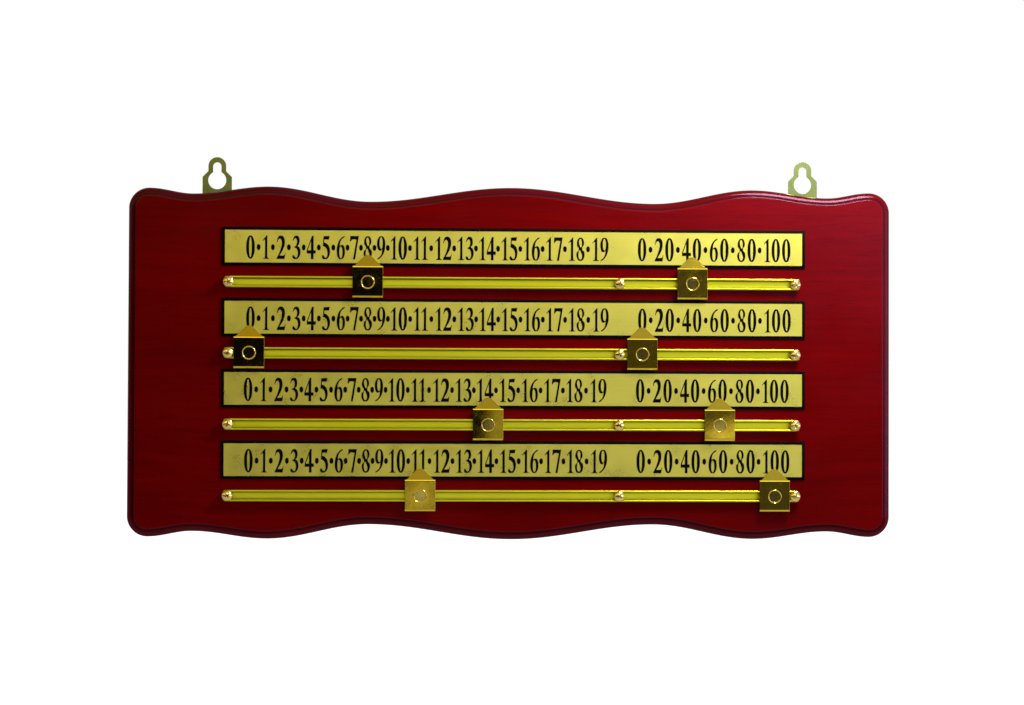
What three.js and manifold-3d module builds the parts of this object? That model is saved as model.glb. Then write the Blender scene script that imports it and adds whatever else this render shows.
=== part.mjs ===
// Wall-hung scoring board for four players, in millimetres.
//
// +X is to the right, +Z is up, and the numbers face -Y. The origin is the centre of the board's
// back face, so the board fills y = -boardThickness to 0. The hanger plates are let into its back,
// flush with it, and stand up above its upper edge.
//
// Each player has one row: a gold number strip, and under it a brass channel rail with two sliding
// pointers. The left pointer counts single points from 0 to 19, and the right one counts twenties
// from 0 to 100. The heads of the rail's three screws are the stops of the pointers.

import * as THREE from 'three';
import { mergeVertices } from 'three/addons/utils/BufferGeometryUtils.js';
import Module from 'manifold-3d';

const wasm = await Module();
wasm.setup();

// ---------------------------------------------------------------- driving dimensions

// Board
const boardWidth = 600;
const boardHeight = 277; // crest to crest
const boardThickness = 15;
const cornerRadius = 16;
const backArris = 0.8; // small chamfer round the back face

// Waves of the long edges: how far each turning point lies in from the side of the board, and how
// deep it dips below the crests. The middle of the edge is a crest.
const sideValleyInset = 50;
const sideCrestInset = 109;
const mainValleyInset = 188;
const cornerDip = 2;
const sideValleyDip = 6.3;
const sideCrestDip = 0.4;
const mainValleyDip = 11.7;

// Moulded front edge, from the side face inwards: a round-over, a narrow ledge, and a small step up
// to the flat field
const roundOverWidth = 5;
const roundOverDepth = 4.6;
const ledgeWidth = 0.8;
const stepHeight = 1.3;
const fieldArris = 0.7;

// Rows
const rowCount = 4;
const topMargin = 47.9; // from the crest line down to the middle of the first strip
const bottomMargin = 34.6; // from the last rail down to the lower crest line

// Number strips
const stripLength = 458.5;
const stripHeight = 30.2;
const stripThickness = 1.2;
const stripBorder = 2.4; // printed black edge round the gold
const stripCentreX = 2.4;

// Scale on the strips: middles of the printed numbers, measured from the strip's left end
const zeroInset = 21.9; // 0 of the single points
const unitPitch = 11.8; // 0 to 6
const closeUnitPitch = 10.6; // 6 to 9
const tenInset = 137.9; // 10
const teenPitch = 17.6; // 10 to 19
const twentiesZeroInset = 329.2; // 0 of the twenties
const digitWidth = 8.4; // in the twenties, with the space round it
const oneWidth = 4.5; // the narrower 1
const dotWidth = 5; // the dot between two numbers, with the space round it

// Rails: bent brass channel, open towards the front
const railWidth = 9;
const railDepth = 4.6; // from the board to the front of the lips
const railWall = 0.7;
const railLip = 1.5; // width of each lip, wall included
const railBendRadius = 0.9;
const railStartInset = 1; // from the left end of the strip to the left end of the rail
const railLength = 453.8;
const middleScrewInset = 310.4; // from the rail's left end to its middle screw

// Round-head screws of the rails
const railScrewHeadRadius = 4.25;
const railScrewHeadHeight = 2.4;
const railScrewRim = 0.4; // straight edge under the dome
const railScrewRadius = 1.5;
const railScrewLength = 15; // under the head
const recessArm = 2.3; // half length of each arm of the cross recess
const recessWidth = 1;
const recessDepth = 1.3;

// Sliding pointers
const plateWidth = 23.7;
const plateThickness = 1;
const plateHalfHeight = 12.1; // from the rail to the upper bend, and to the lower fold
const plateGap = 0.3; // between the rail's lips and the back of the plate
const bendRadius = 0.7; // inside radius of both bends
const foldDepth = 3.4; // how far the lower fold reaches back, from the front of the plate
const pointerShoulder = 1.3; // step from the side of the plate to the foot of the point
const pointerTipWidth = 4;
const pointerOverlap = 6.2; // how far the point reaches up over the gold
const pointerClearance = 0.5; // between the tip of the point and the strip
const stopGap = 0.3; // left between a pointer and a screw head at the end of its travel

// Rivets and shoes
const rivetHeadRadius = 5.4;
const rivetHeadHeight = 0.7;
const rivetBevel = 0.6;
const rivetRadius = 2;
const rivetTailRadius = 2.8;
const rivetTailDepth = 0.8;
const rivetClearance = 0.1;
const shoeLength = 14;
const shoeSideGap = 0.2; // each side, inside the channel
const shoeNeckGap = 0.15; // each side, between the lips
const shoeLipGap = 0.25; // behind the lips
const shoeFloorGap = 0.3; // over the floor of the channel

// Keyhole hanger plates
const hangerSpacing = 464.8; // between the middles of the two plates
const hangerThickness = 1.2;
const hangerWidth = 23;
const hangerNeckWidth = 13.9;
const hangerTopZ = 23.2; // top of the plate, above the crest line
const keyholeRadius = 7.1;
const keyholeSlotWidth = 6.6;
const keyholeTopInset = 4; // from the top of the plate to the top of the slot
const keyholeDrop = 18.2; // from the top of the plate to the middle of the large hole
const hangerShoulderDrop = 15.6; // from the top of the plate to where it has its full width
const hangerLength = 56;
const hangerFootRadius = 3;
const pocketGap = 0.3; // round the plate, in the pocket that lets it into the board
const hangerScrewDrop = [34, 48]; // from the top of the plate
const hangerScrewHeadRadius = 3.2;
const hangerScrewRadius = 1.5;
const hangerScrewLength = 12;
const hangerRecessArm = 1.7;
const hangerRecessWidth = 0.8;
const hangerRecessDepth = 1.1;

// Clearance of a screw in its hole
const screwClearance = 0.3;

// Facets
const waveStep = 10.5;
const cornerSegments = 7;
const mouldSegments = 4;
const roundSegments = 20;
const holeSegments = 10;
const bendSegments = 3;

// Where each player's two pointers stand: single points, then twenties
const scores = [
  { units: 8, twenties: 40 },
  { units: 0, twenties: 0 },
  { units: 14, twenties: 60 },
  { units: 11, twenties: 100 },
];

// ---------------------------------------------------------------- places worked out from them

const frontY = -boardThickness;
const crestZ = boardHeight / 2;
// A rail lies midway between its own strip and the next one down
const rowPitch = (boardHeight - topMargin - bottomMargin) / (rowCount - 0.5);
const railDrop = rowPitch / 2;
const stripLeftX = stripCentreX - stripLength / 2;
const railLeftX = stripLeftX + railStartInset;
const railEndRadius = railWidth / 2;
const screwXs = {
  left: railLeftX + railEndRadius,
  middle: railLeftX + middleScrewInset,
  right: railLeftX + railLength - railEndRadius,
};
const platePlane = -(railDepth + plateGap); // back of the pointer plate, measured from the board
const plateFront = platePlane - plateThickness;
const slotHalfWidth = railWidth / 2 - railLip;

// ---------------------------------------------------------------- materials

const lacqueredWood = { color: 0x6e0a0a, roughness: 0.35, metalness: 0 };
const goldStrip = { color: 0xbfa244, roughness: 0.45, metalness: 0.7 };
const railBrass = { color: 0xb79a3f, roughness: 0.3, metalness: 1 };
const screwBrass = { color: 0xcfae5a, roughness: 0.25, metalness: 1 };
const pointerBrass = { color: 0xb0883a, roughness: 0.15, metalness: 1 };
const hangerBrass = { color: 0x8a8a3c, roughness: 0.35, metalness: 1 };

function makeMesh(name, geometry, finish) {
  const mesh = new THREE.Mesh(geometry, new THREE.MeshStandardMaterial(finish));
  mesh.name = name;
  return mesh;
}

// ---------------------------------------------------------------- solids and booleans

// A closed geometry as a solid that can be cut and joined
function toSolid(geometry) {
  const bare = geometry.clone();
  bare.deleteAttribute('normal');
  bare.deleteAttribute('uv');
  const merged = mergeVertices(bare, 1e-4);
  return new wasm.Manifold(new wasm.Mesh({
    numProp: 3,
    vertProperties: new Float32Array(merged.attributes.position.array),
    triVerts: new Uint32Array(merged.index.array),
  }));
}

// The solid's surface as a geometry again
function toGeometry(solid) {
  const { vertProperties, triVerts } = solid.getMesh();
  const geometry = new THREE.BufferGeometry();
  geometry.setAttribute('position', new THREE.BufferAttribute(new Float32Array(vertProperties), 3));
  geometry.setIndex(new THREE.BufferAttribute(new Uint32Array(triVerts), 1));
  geometry.computeVertexNormals();
  return geometry;
}

function cutAll(geometry, cutters) {
  return toGeometry(cutters.reduce((solid, cutter) => solid.subtract(toSolid(cutter)), toSolid(geometry)));
}

function keepInside(geometry, bounds) {
  return toGeometry(toSolid(geometry).intersect(toSolid(bounds)));
}

// ---------------------------------------------------------------- shape helpers

function shapeOf(points) {
  return new THREE.Shape(points.map(([x, y]) => new THREE.Vector2(x, y)));
}

// A shape drawn in the (y, z) plane, extruded along X and centred on x = 0
function extrudeAlongX(shape, length) {
  const geometry = new THREE.ExtrudeGeometry(shape, {
    depth: length, bevelEnabled: false, curveSegments: bendSegments,
  });
  geometry.translate(0, 0, -length / 2);
  const yAxis = new THREE.Vector3(0, 1, 0);
  const zAxis = new THREE.Vector3(0, 0, 1);
  const xAxis = new THREE.Vector3(1, 0, 0);
  return geometry.applyMatrix4(new THREE.Matrix4().makeBasis(yAxis, zAxis, xAxis));
}

// A shape drawn in the (x, z) plane, filling from backY forwards to nearY
function extrudeForward(shape, backY, nearY, segments = holeSegments) {
  const geometry = new THREE.ExtrudeGeometry(shape, {
    depth: backY - nearY, bevelEnabled: false, curveSegments: segments,
  });
  return geometry.rotateX(Math.PI / 2).translate(0, backY, 0);
}

// A profile of [radius, y] points, from the front backwards, turned about the Y axis
function turnAboutY(profile, segments) {
  return new THREE.LatheGeometry(profile.map(([r, y]) => new THREE.Vector2(r, y)), segments);
}

// A round cutter along Y
function drill(x, z, radius, nearY, backY) {
  const profile = [[0, nearY], [radius, nearY], [radius, backY], [0, backY]];
  return turnAboutY(profile, holeSegments).translate(x, 0, z);
}

// A cross-shaped cutter whose open side is at nearY
function crossRecess(arm, width, nearY, depth) {
  const w = width / 2;
  const quarter = [[arm, -w], [arm, w], [w, w]];
  const turns = [0, 1, 2, 3];
  const points = turns.flatMap((turn) => quarter.map(([x, z]) => {
    const angle = turn * Math.PI / 2;
    const c = Math.round(Math.cos(angle));
    const s = Math.round(Math.sin(angle));
    return [x * c - z * s, x * s + z * c];
  }));
  return extrudeForward(shapeOf(points), nearY + depth, nearY);
}

function arcPoints(centreX, centreY, radius, fromAngle, toAngle, segments) {
  return Array.from({ length: segments + 1 }, (_, i) => {
    const angle = fromAngle + (toAngle - fromAngle) * i / segments;
    return [centreX + radius * Math.cos(angle), centreY + radius * Math.sin(angle)];
  });
}

// ---------------------------------------------------------------- backboard

// Turning points of the right half of the upper edge: distance from the middle, and dip
const halfWidth = boardWidth / 2;
const turningPoints = [
  [0, 0],
  [halfWidth - mainValleyInset, mainValleyDip],
  [halfWidth - sideCrestInset, sideCrestDip],
  [halfWidth - sideValleyInset, sideValleyDip],
  [halfWidth - cornerRadius, cornerDip],
];

// Dip of the long edge below its crest line: half a cosine between turning points
function dipAt(x) {
  const distance = Math.abs(x);
  const next = turningPoints.findIndex(([place]) => place >= distance);
  if (next <= 0) return turningPoints[0][1];
  const [startX, startDip] = turningPoints[next - 1];
  const [endX, endDip] = turningPoints[next];
  const share = (distance - startX) / (endX - startX);
  return startDip + (endDip - startDip) * (1 - Math.cos(Math.PI * share)) / 2;
}

// Outline of the board, anticlockwise as seen from the front, with its outward directions
function boardOutline() {
  const reach = halfWidth - cornerRadius;
  const cornerZ = crestZ - cornerDip - cornerRadius;
  const upperEdge = [];
  const steps = Math.ceil(2 * reach / waveStep);
  for (let i = 1; i < steps; i += 1) {
    const x = reach - 2 * reach * i / steps;
    upperEdge.push([x, crestZ - dipAt(x)]);
  }
  const upperRight = arcPoints(reach, cornerZ, cornerRadius, 0, Math.PI / 2, cornerSegments);
  const upperLeft = arcPoints(-reach, cornerZ, cornerRadius, Math.PI / 2, Math.PI, cornerSegments);
  const upperHalf = [...upperRight, ...upperEdge, ...upperLeft];
  const lowerHalf = upperHalf.map(([x, z]) => [-x, -z]);
  const points = [...upperHalf, ...lowerHalf].map(([x, z]) => new THREE.Vector2(x, z));
  const outward = points.map((_, i) => {
    const before = points[(i + points.length - 1) % points.length];
    const after = points[(i + 1) % points.length];
    const along = after.clone().sub(before).normalize();
    return new THREE.Vector2(along.y, -along.x);
  });
  return { points, outward };
}

// The edge of the board in section: inset from the outline, and y, from the back face to the field
function edgeSection() {
  const ledgeY = frontY + stepHeight;
  const section = [[backArris, 0], [0, -backArris]];
  for (let i = 0; i <= mouldSegments; i += 1) {
    const angle = (Math.PI / 2) * i / mouldSegments;
    section.push([
      roundOverWidth * (1 - Math.cos(angle)),
      ledgeY + roundOverDepth * (1 - Math.sin(angle)),
    ]);
  }
  const stepInset = roundOverWidth + ledgeWidth;
  section.push([stepInset, ledgeY]);
  section.push([stepInset, frontY + fieldArris]);
  section.push([stepInset + fieldArris, frontY]);
  return section;
}

// The outline is repeated at each point of the section, and the rings are joined into one skin
function boardBlank() {
  const { points, outward } = boardOutline();
  const section = edgeSection();
  const count = points.length;
  const rings = section.map(([inset, y]) => points.map((point, i) => {
    const moved = point.clone().addScaledVector(outward[i], -inset);
    return [moved.x, y, moved.y];
  }));
  const index = [];
  for (let ring = 0; ring + 1 < rings.length; ring += 1) {
    for (let i = 0; i < count; i += 1) {
      const a = ring * count + i;
      const b = ring * count + (i + 1) % count;
      index.push(a, b, b + count, a, b + count, a + count);
    }
  }
  const capOf = (ring) => THREE.ShapeUtils.triangulateShape(
    rings[ring].map(([x, , z]) => new THREE.Vector2(x, z)), [],
  );
  capOf(0).forEach(([a, b, c]) => index.push(a, c, b));
  const last = (rings.length - 1) * count;
  capOf(rings.length - 1).forEach(([a, b, c]) => index.push(last + a, last + b, last + c));
  const geometry = new THREE.BufferGeometry();
  geometry.setAttribute('position', new THREE.Float32BufferAttribute(rings.flat(2), 3));
  geometry.setIndex(index);
  return geometry;
}

function makeBackboard() {
  const cutters = [];
  for (let row = 0; row < rowCount; row += 1) {
    const depth = railScrewLength - railDepth + screwClearance;
    Object.values(screwXs).forEach((x) => {
      const radius = railScrewRadius + screwClearance;
      cutters.push(drill(x, railZ(row), radius, frontY - 1, frontY + depth));
    });
  }
  hangerXs().forEach((x) => {
    cutters.push(pocketCutter().translate(x, 0, hangerTop()));
    hangerScrewDrop.forEach((drop) => {
      cutters.push(countersunkCutter().translate(x, 0, hangerTop() - drop));
    });
  });
  return makeMesh('backboard', cutAll(boardBlank(), cutters), lacqueredWood);
}

// ---------------------------------------------------------------- rows

function stripZ(row) {
  return crestZ - topMargin - row * rowPitch;
}

function railZ(row) {
  return stripZ(row) - railDrop;
}

// Middle of a printed number
function unitsX(value) {
  const closeFrom = 6;
  const ten = 10;
  if (value >= ten) return stripLeftX + tenInset + (value - ten) * teenPitch;
  const wide = Math.min(value, closeFrom);
  const close = Math.max(value - closeFrom, 0);
  return stripLeftX + zeroInset + wide * unitPitch + close * closeUnitPitch;
}

// The twenties are set one after the other, so each step follows from the width of its numbers
function twentiesX(value) {
  const step = 20;
  const halfOf = (number) => [...String(number)].reduce(
    (sum, digit) => sum + (digit === '1' ? oneWidth : digitWidth) / 2, 0,
  );
  let x = stripLeftX + twentiesZeroInset;
  for (let number = step; number <= value; number += step) {
    x += halfOf(number - step) + dotWidth + halfOf(number);
  }
  return x;
}

// A pointer stands at its number, or at its stop where the screw head keeps it from the number
function pointerX(numberX, leftScrewX, rightScrewX) {
  const reach = railScrewHeadRadius + stopGap + plateWidth / 2;
  return Math.min(Math.max(numberX, leftScrewX + reach), rightScrewX - reach);
}

function makeStrip(row) {
  const geometry = new THREE.BoxGeometry(stripLength, stripThickness, stripHeight);
  const mesh = makeMesh(`number_strip_${row + 1}`, geometry, goldStrip);
  mesh.position.set(stripCentreX, frontY - stripThickness / 2, stripZ(row));
  return mesh;
}

// Section of the channel: floor on the board, walls, and lips turned in towards the slot
function railSection() {
  const half = railWidth / 2;
  const r = railBendRadius;
  const inner = half - railWall;
  const outer = new THREE.Shape();
  outer.moveTo(0, -half + r);
  outer.absarc(-r, -half + r, r, 0, -Math.PI / 2, true);
  outer.absarc(-railDepth + r, -half + r, r, -Math.PI / 2, -Math.PI, true);
  outer.lineTo(-railDepth, -slotHalfWidth);
  outer.lineTo(-railDepth + railWall, -slotHalfWidth);
  outer.lineTo(-railDepth + railWall, -inner);
  outer.lineTo(-railWall, -inner);
  outer.lineTo(-railWall, inner);
  outer.lineTo(-railDepth + railWall, inner);
  outer.lineTo(-railDepth + railWall, slotHalfWidth);
  outer.lineTo(-railDepth, slotHalfWidth);
  outer.absarc(-railDepth + r, half - r, r, Math.PI, Math.PI / 2, true);
  outer.absarc(-r, half - r, r, Math.PI / 2, 0, true);
  return outer;
}

// Plan of the rail: both ends are round about their screws
function railPlan() {
  const reach = railLength / 2 - railEndRadius;
  return shapeOf([
    ...arcPoints(reach, 0, railEndRadius, -Math.PI / 2, Math.PI / 2, cornerSegments + 1),
    ...arcPoints(-reach, 0, railEndRadius, Math.PI / 2, 3 * Math.PI / 2, cornerSegments + 1),
  ]);
}

function makeRail(row) {
  const middleX = railLeftX + railLength / 2;
  const channel = extrudeAlongX(railSection(), railLength);
  const rounded = keepInside(channel, extrudeForward(railPlan(), 1, -railDepth - 1));
  const cutters = Object.values(screwXs).map((x) => drill(
    x - middleX, 0, railScrewRadius + screwClearance, -railWall - 1, 1,
  ));
  const mesh = makeMesh(`rail_${row + 1}`, cutAll(rounded, cutters), railBrass);
  mesh.position.set(middleX, frontY, railZ(row));
  return mesh;
}

// A round-head wood screw; the underside of its head is at y = 0
function makeRailScrew(row, side) {
  const domeHeight = railScrewHeadHeight - railScrewRim;
  const domeSteps = 3;
  const profile = [];
  for (let i = 0; i <= domeSteps; i += 1) {
    const angle = (Math.PI / 2) * i / domeSteps;
    const y = -railScrewRim - domeHeight * Math.cos(angle);
    profile.push([railScrewHeadRadius * Math.sin(angle), y]);
  }
  profile.push([railScrewHeadRadius, 0]);
  profile.push([railScrewRadius, 0]);
  profile.push([railScrewRadius, railScrewLength - 2 * railScrewRadius]);
  profile.push([0, railScrewLength]);
  const recess = crossRecess(recessArm, recessWidth, -railScrewHeadHeight - 1, recessDepth + 1);
  const geometry = cutAll(turnAboutY(profile, roundSegments), [recess]);
  const mesh = makeMesh(`rail_screw_${row + 1}_${side}`, geometry, screwBrass);
  mesh.position.set(screwXs[side], frontY - railDepth, railZ(row));
  return mesh;
}

// ---------------------------------------------------------------- sliding pointers
// Pieces of a pointer are drawn about the middle of their rail, with y = 0 on the board's face.

const pointerReach = railDrop - (stripHeight / 2 - stripBorder) + pointerOverlap;
const pointerFall = Math.atan2(
  -platePlane - stripThickness - pointerClearance,
  pointerReach - plateHalfHeight,
);

// Section of the folded plate: lower fold, face, and the point bent back towards the strip
function plateSection() {
  const t = plateThickness;
  const inner = bendRadius;
  const outer = bendRadius + t;
  const foldZ = -plateHalfHeight + outer;
  const bendZ = plateHalfHeight - outer * Math.tan(pointerFall / 2);
  const lean = new THREE.Vector2(Math.sin(pointerFall), Math.cos(pointerFall));
  const bendCentre = new THREE.Vector2(plateFront + outer, bendZ);
  const bendEnd = Math.PI - pointerFall;
  const frontOfBend = bendCentre.clone().add(
    new THREE.Vector2(Math.cos(bendEnd), Math.sin(bendEnd)).multiplyScalar(outer),
  );
  const run = (pointerReach - frontOfBend.y) / lean.y;
  const tipFront = frontOfBend.clone().addScaledVector(lean, run);
  const shape = new THREE.Shape();
  shape.moveTo(plateFront + foldDepth, -plateHalfHeight);
  shape.lineTo(plateFront + outer, -plateHalfHeight);
  shape.absarc(plateFront + outer, foldZ, outer, -Math.PI / 2, -Math.PI, true);
  shape.absarc(bendCentre.x, bendCentre.y, outer, Math.PI, bendEnd, true);
  shape.lineTo(tipFront.x, tipFront.y);
  shape.lineTo(tipFront.x + lean.y * t, tipFront.y - lean.x * t);
  shape.absarc(bendCentre.x, bendCentre.y, inner, bendEnd, Math.PI, false);
  shape.absarc(plateFront + outer, foldZ, inner, -Math.PI, -Math.PI / 2, false);
  shape.lineTo(plateFront + foldDepth, -plateHalfHeight + t);
  return shape;
}

// Outline of the plate from the front: a rectangle with a blunt point above the upper bend
function platePlan() {
  const half = plateWidth / 2;
  const foot = half - pointerShoulder;
  const tip = pointerTipWidth / 2;
  const below = -plateHalfHeight - 1;
  const above = pointerReach + 1;
  const slope = (foot - tip) / (pointerReach - plateHalfHeight);
  return shapeOf([
    [-half, below], [half, below], [half, plateHalfHeight], [foot, plateHalfHeight],
    [tip, pointerReach], [Math.max(tip - slope, 0.1), above],
    [-Math.max(tip - slope, 0.1), above], [-tip, pointerReach],
    [-foot, plateHalfHeight], [-half, plateHalfHeight],
  ]);
}

function makePointerPlate(name) {
  const folded = extrudeAlongX(plateSection(), plateWidth);
  const trimmed = keepInside(folded, extrudeForward(platePlan(), 0, plateFront - 1));
  const hole = drill(0, 0, rivetRadius + rivetClearance, plateFront - 1, platePlane + 1);
  return makeMesh(name, cutAll(trimmed, [hole]), pointerBrass);
}

// T-shaped shoe: the flange runs inside the channel and the neck stands out between the lips
const shoeBack = -railWall - shoeFloorGap;

function makeShoe(name) {
  const flange = railWidth / 2 - railWall - shoeSideGap;
  const neck = slotHalfWidth - shoeNeckGap;
  const shoulder = -railDepth + railWall + shoeLipGap;
  const section = shapeOf([
    [shoeBack, -flange], [shoeBack, flange], [shoulder, flange], [shoulder, neck],
    [platePlane, neck], [platePlane, -neck], [shoulder, -neck], [shoulder, -flange],
  ]);
  const straight = rivetRadius + rivetClearance;
  const flared = rivetTailRadius + rivetClearance;
  const past = 1;
  const flareSlope = (rivetTailRadius - rivetRadius) / rivetTailDepth;
  const bore = turnAboutY([
    [0, platePlane - past], [straight, platePlane - past], [straight, shoeBack - rivetTailDepth],
    [flared, shoeBack], [flared + flareSlope * past, shoeBack + past], [0, shoeBack + past],
  ], roundSegments);
  return makeMesh(name, cutAll(extrudeAlongX(section, shoeLength), [bore]), pointerBrass);
}

// Flat bevelled head on the face of the plate, and a tail spread in the back of the shoe
function makeRivet(name) {
  const headFront = plateFront - rivetHeadHeight;
  const profile = [
    [0, headFront], [rivetHeadRadius - rivetBevel, headFront],
    [rivetHeadRadius, plateFront - (rivetHeadHeight - rivetBevel)], [rivetHeadRadius, plateFront],
    [rivetRadius, plateFront], [rivetRadius, shoeBack - rivetTailDepth],
    [rivetTailRadius, shoeBack], [0, shoeBack],
  ];
  return makeMesh(name, turnAboutY(profile, roundSegments), pointerBrass);
}

function makePointer(kind, row, x) {
  const group = new THREE.Group();
  group.position.set(x, frontY, railZ(row));
  group.add(
    makePointerPlate(`${kind}_pointer_${row + 1}`),
    makeRivet(`${kind}_rivet_${row + 1}`),
    makeShoe(`${kind}_shoe_${row + 1}`),
  );
  return group;
}

function makeRow(row) {
  const group = new THREE.Group();
  const { units, twenties } = scores[row];
  group.add(makeStrip(row), makeRail(row));
  Object.keys(screwXs).forEach((side) => group.add(makeRailScrew(row, side)));
  const { left, middle, right } = screwXs;
  group.add(makePointer('units', row, pointerX(unitsX(units), left, middle)));
  group.add(makePointer('twenties', row, pointerX(twentiesX(twenties), middle, right)));
  return group;
}

// ---------------------------------------------------------------- hanging hardware

function hangerXs() {
  return [-hangerSpacing / 2, hangerSpacing / 2];
}

function hangerTop() {
  return crestZ + hangerTopZ;
}

// Outline of a hanger plate, drawn about the top of its dome
function hangerOutline() {
  const neck = hangerNeckWidth / 2;
  const half = hangerWidth / 2;
  const shoulderZ = -hangerShoulderDrop;
  const neckZ = shoulderZ + (half - neck);
  const foot = hangerFootRadius;
  return shapeOf([
    [neck, neckZ],
    ...arcPoints(0, -neck, neck, 0, Math.PI, 2 * cornerSegments),
    [-neck, neckZ], [-half, shoulderZ],
    ...arcPoints(-half + foot, -hangerLength + foot, foot, Math.PI, 3 * Math.PI / 2, bendSegments),
    ...arcPoints(half - foot, -hangerLength + foot, foot, -Math.PI / 2, 0, bendSegments),
    [half, shoulderZ],
  ]);
}

// The keyhole: a large round hole with a round-topped slot above it
function keyholeShape() {
  const slot = keyholeSlotWidth / 2;
  const rise = Math.sqrt(keyholeRadius ** 2 - slot ** 2);
  const angle = Math.asin(rise / keyholeRadius);
  return shapeOf([
    ...arcPoints(0, -keyholeTopInset - slot, slot, 0, Math.PI, cornerSegments),
    ...arcPoints(0, -keyholeDrop, keyholeRadius, Math.PI - angle, 2 * Math.PI + angle, roundSegments),
  ]);
}

// Pocket in the back of the board, open at the board's upper edge
function pocketCutter() {
  const half = hangerWidth / 2 + pocketGap;
  const low = -hangerLength - pocketGap;
  const foot = hangerFootRadius + pocketGap;
  const plan = shapeOf([
    [half, 0], [-half, 0],
    ...arcPoints(-half + foot, low + foot, foot, Math.PI, 3 * Math.PI / 2, bendSegments),
    ...arcPoints(half - foot, low + foot, foot, -Math.PI / 2, 0, bendSegments),
  ]);
  return extrudeForward(plan, 1, -hangerThickness);
}

// Profile of a countersunk screw, or of its hole when it is made larger all round; the flat of the
// head is level with the back of the board, at y = 0
function countersunkProfile(extra) {
  const shank = hangerScrewRadius + extra;
  return {
    tipY: -hangerScrewLength - extra,
    neckY: hangerScrewRadius - hangerScrewHeadRadius,
    shank,
    head: hangerScrewHeadRadius + extra,
  };
}

function countersunkCutter() {
  const { tipY, neckY, shank, head } = countersunkProfile(screwClearance);
  const past = 1;
  return turnAboutY([
    [0, tipY], [shank, tipY], [shank, neckY], [head, 0], [head + past, past], [0, past],
  ], holeSegments);
}

function makeHanger(side, x) {
  const blank = extrudeForward(hangerOutline(), 0, -hangerThickness);
  const keyhole = extrudeForward(keyholeShape(), 1, -hangerThickness - 1);
  const holes = hangerScrewDrop.map((drop) => countersunkCutter().translate(0, 0, -drop));
  const mesh = makeMesh(`hanger_${side}`, cutAll(blank, [keyhole, ...holes]), hangerBrass);
  mesh.position.set(x, 0, hangerTop());
  return mesh;
}

function makeHangerScrew(name, x, drop) {
  const { tipY, neckY, shank, head } = countersunkProfile(0);
  const body = turnAboutY([
    [0, tipY], [shank, tipY + 2 * shank], [shank, neckY], [head, 0], [0, 0],
  ], holeSegments);
  const recess = crossRecess(
    hangerRecessArm, hangerRecessWidth, -hangerRecessDepth, hangerRecessDepth + 1,
  );
  const mesh = makeMesh(name, cutAll(body, [recess]), screwBrass);
  mesh.position.set(x, 0, hangerTop() - drop);
  return mesh;
}

function makeHangers() {
  const group = new THREE.Group();
  const sides = ['left', 'right'];
  const levels = ['upper', 'lower'];
  sides.forEach((side, i) => {
    const x = hangerXs()[i];
    group.add(makeHanger(side, x));
    levels.forEach((level, j) => {
      group.add(makeHangerScrew(`hanger_screw_${side}_${level}`, x, hangerScrewDrop[j]));
    });
  });
  return group;
}

// ---------------------------------------------------------------- the whole board

const scoringBoard = new THREE.Group();
scoringBoard.add(makeBackboard());
for (let row = 0; row < rowCount; row += 1) scoringBoard.add(makeRow(row));
scoringBoard.add(makeHangers());

export default scoringBoard;
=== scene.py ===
"""Looks of a wall-hung scoring board for four players.

The board has four gold number strips, four brass rails and two sliding markers on each rail. Pieces
are drawn in millimetres about their own middles and set in place by the boxes of the CAD nodes that
they stand for: +X is to the right, +Z is up and the numbers face -Y.
"""

import logging
import math
from dataclasses import dataclass, field
from enum import Enum
from functools import lru_cache
from typing import Iterable, Optional, Sequence, Union

import bmesh
import bpy
from mathutils import Matrix, Quaternion, Vector
from mathutils.geometry import interpolate_bezier, tessellate_polygon


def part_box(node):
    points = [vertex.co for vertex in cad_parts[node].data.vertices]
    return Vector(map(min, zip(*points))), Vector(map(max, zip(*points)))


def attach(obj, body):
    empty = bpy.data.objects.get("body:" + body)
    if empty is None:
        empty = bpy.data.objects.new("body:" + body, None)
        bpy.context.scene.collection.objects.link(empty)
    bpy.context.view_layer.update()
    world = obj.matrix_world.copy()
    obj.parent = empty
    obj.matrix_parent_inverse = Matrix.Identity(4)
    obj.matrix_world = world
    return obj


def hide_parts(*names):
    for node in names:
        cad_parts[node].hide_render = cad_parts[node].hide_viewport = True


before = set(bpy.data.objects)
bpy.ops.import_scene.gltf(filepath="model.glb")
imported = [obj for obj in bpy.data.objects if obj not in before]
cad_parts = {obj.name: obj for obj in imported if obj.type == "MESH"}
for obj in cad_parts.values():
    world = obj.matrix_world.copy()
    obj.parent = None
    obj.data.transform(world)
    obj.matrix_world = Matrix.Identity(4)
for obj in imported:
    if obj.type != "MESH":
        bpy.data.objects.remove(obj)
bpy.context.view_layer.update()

LOG = logging.getLogger("scoring_board")
MM = 0.001
ROWS = (1, 2, 3, 4)
SIDES = ("left", "right")

Colour = tuple[float, float, float]
Point2 = tuple[float, float]
Point3 = tuple[float, float, float]
Loop = list[Point2]
Socket = bpy.types.NodeSocket
Tree = bpy.types.NodeTree
Thing = bpy.types.Object
Material = bpy.types.Material
Number = Union[float, Socket]


# ---------------- places

@lru_cache(maxsize=None)
def corners_of(node: str) -> tuple[Point3, Point3]:
    """Lowest and highest corner of a CAD node's box, in millimetres."""
    low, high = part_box(node)
    return tuple(low / MM), tuple(high / MM)


def low_of(node: str) -> Vector:
    """Lowest corner of a CAD node's box, in millimetres."""
    return Vector(corners_of(node)[0])


def high_of(node: str) -> Vector:
    """Highest corner of a CAD node's box, in millimetres."""
    return Vector(corners_of(node)[1])


def middle_of(node: str) -> Vector:
    """Middle of a CAD node's box, in millimetres."""
    return (low_of(node) + high_of(node)) / 2


# ---------------- plans

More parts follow.
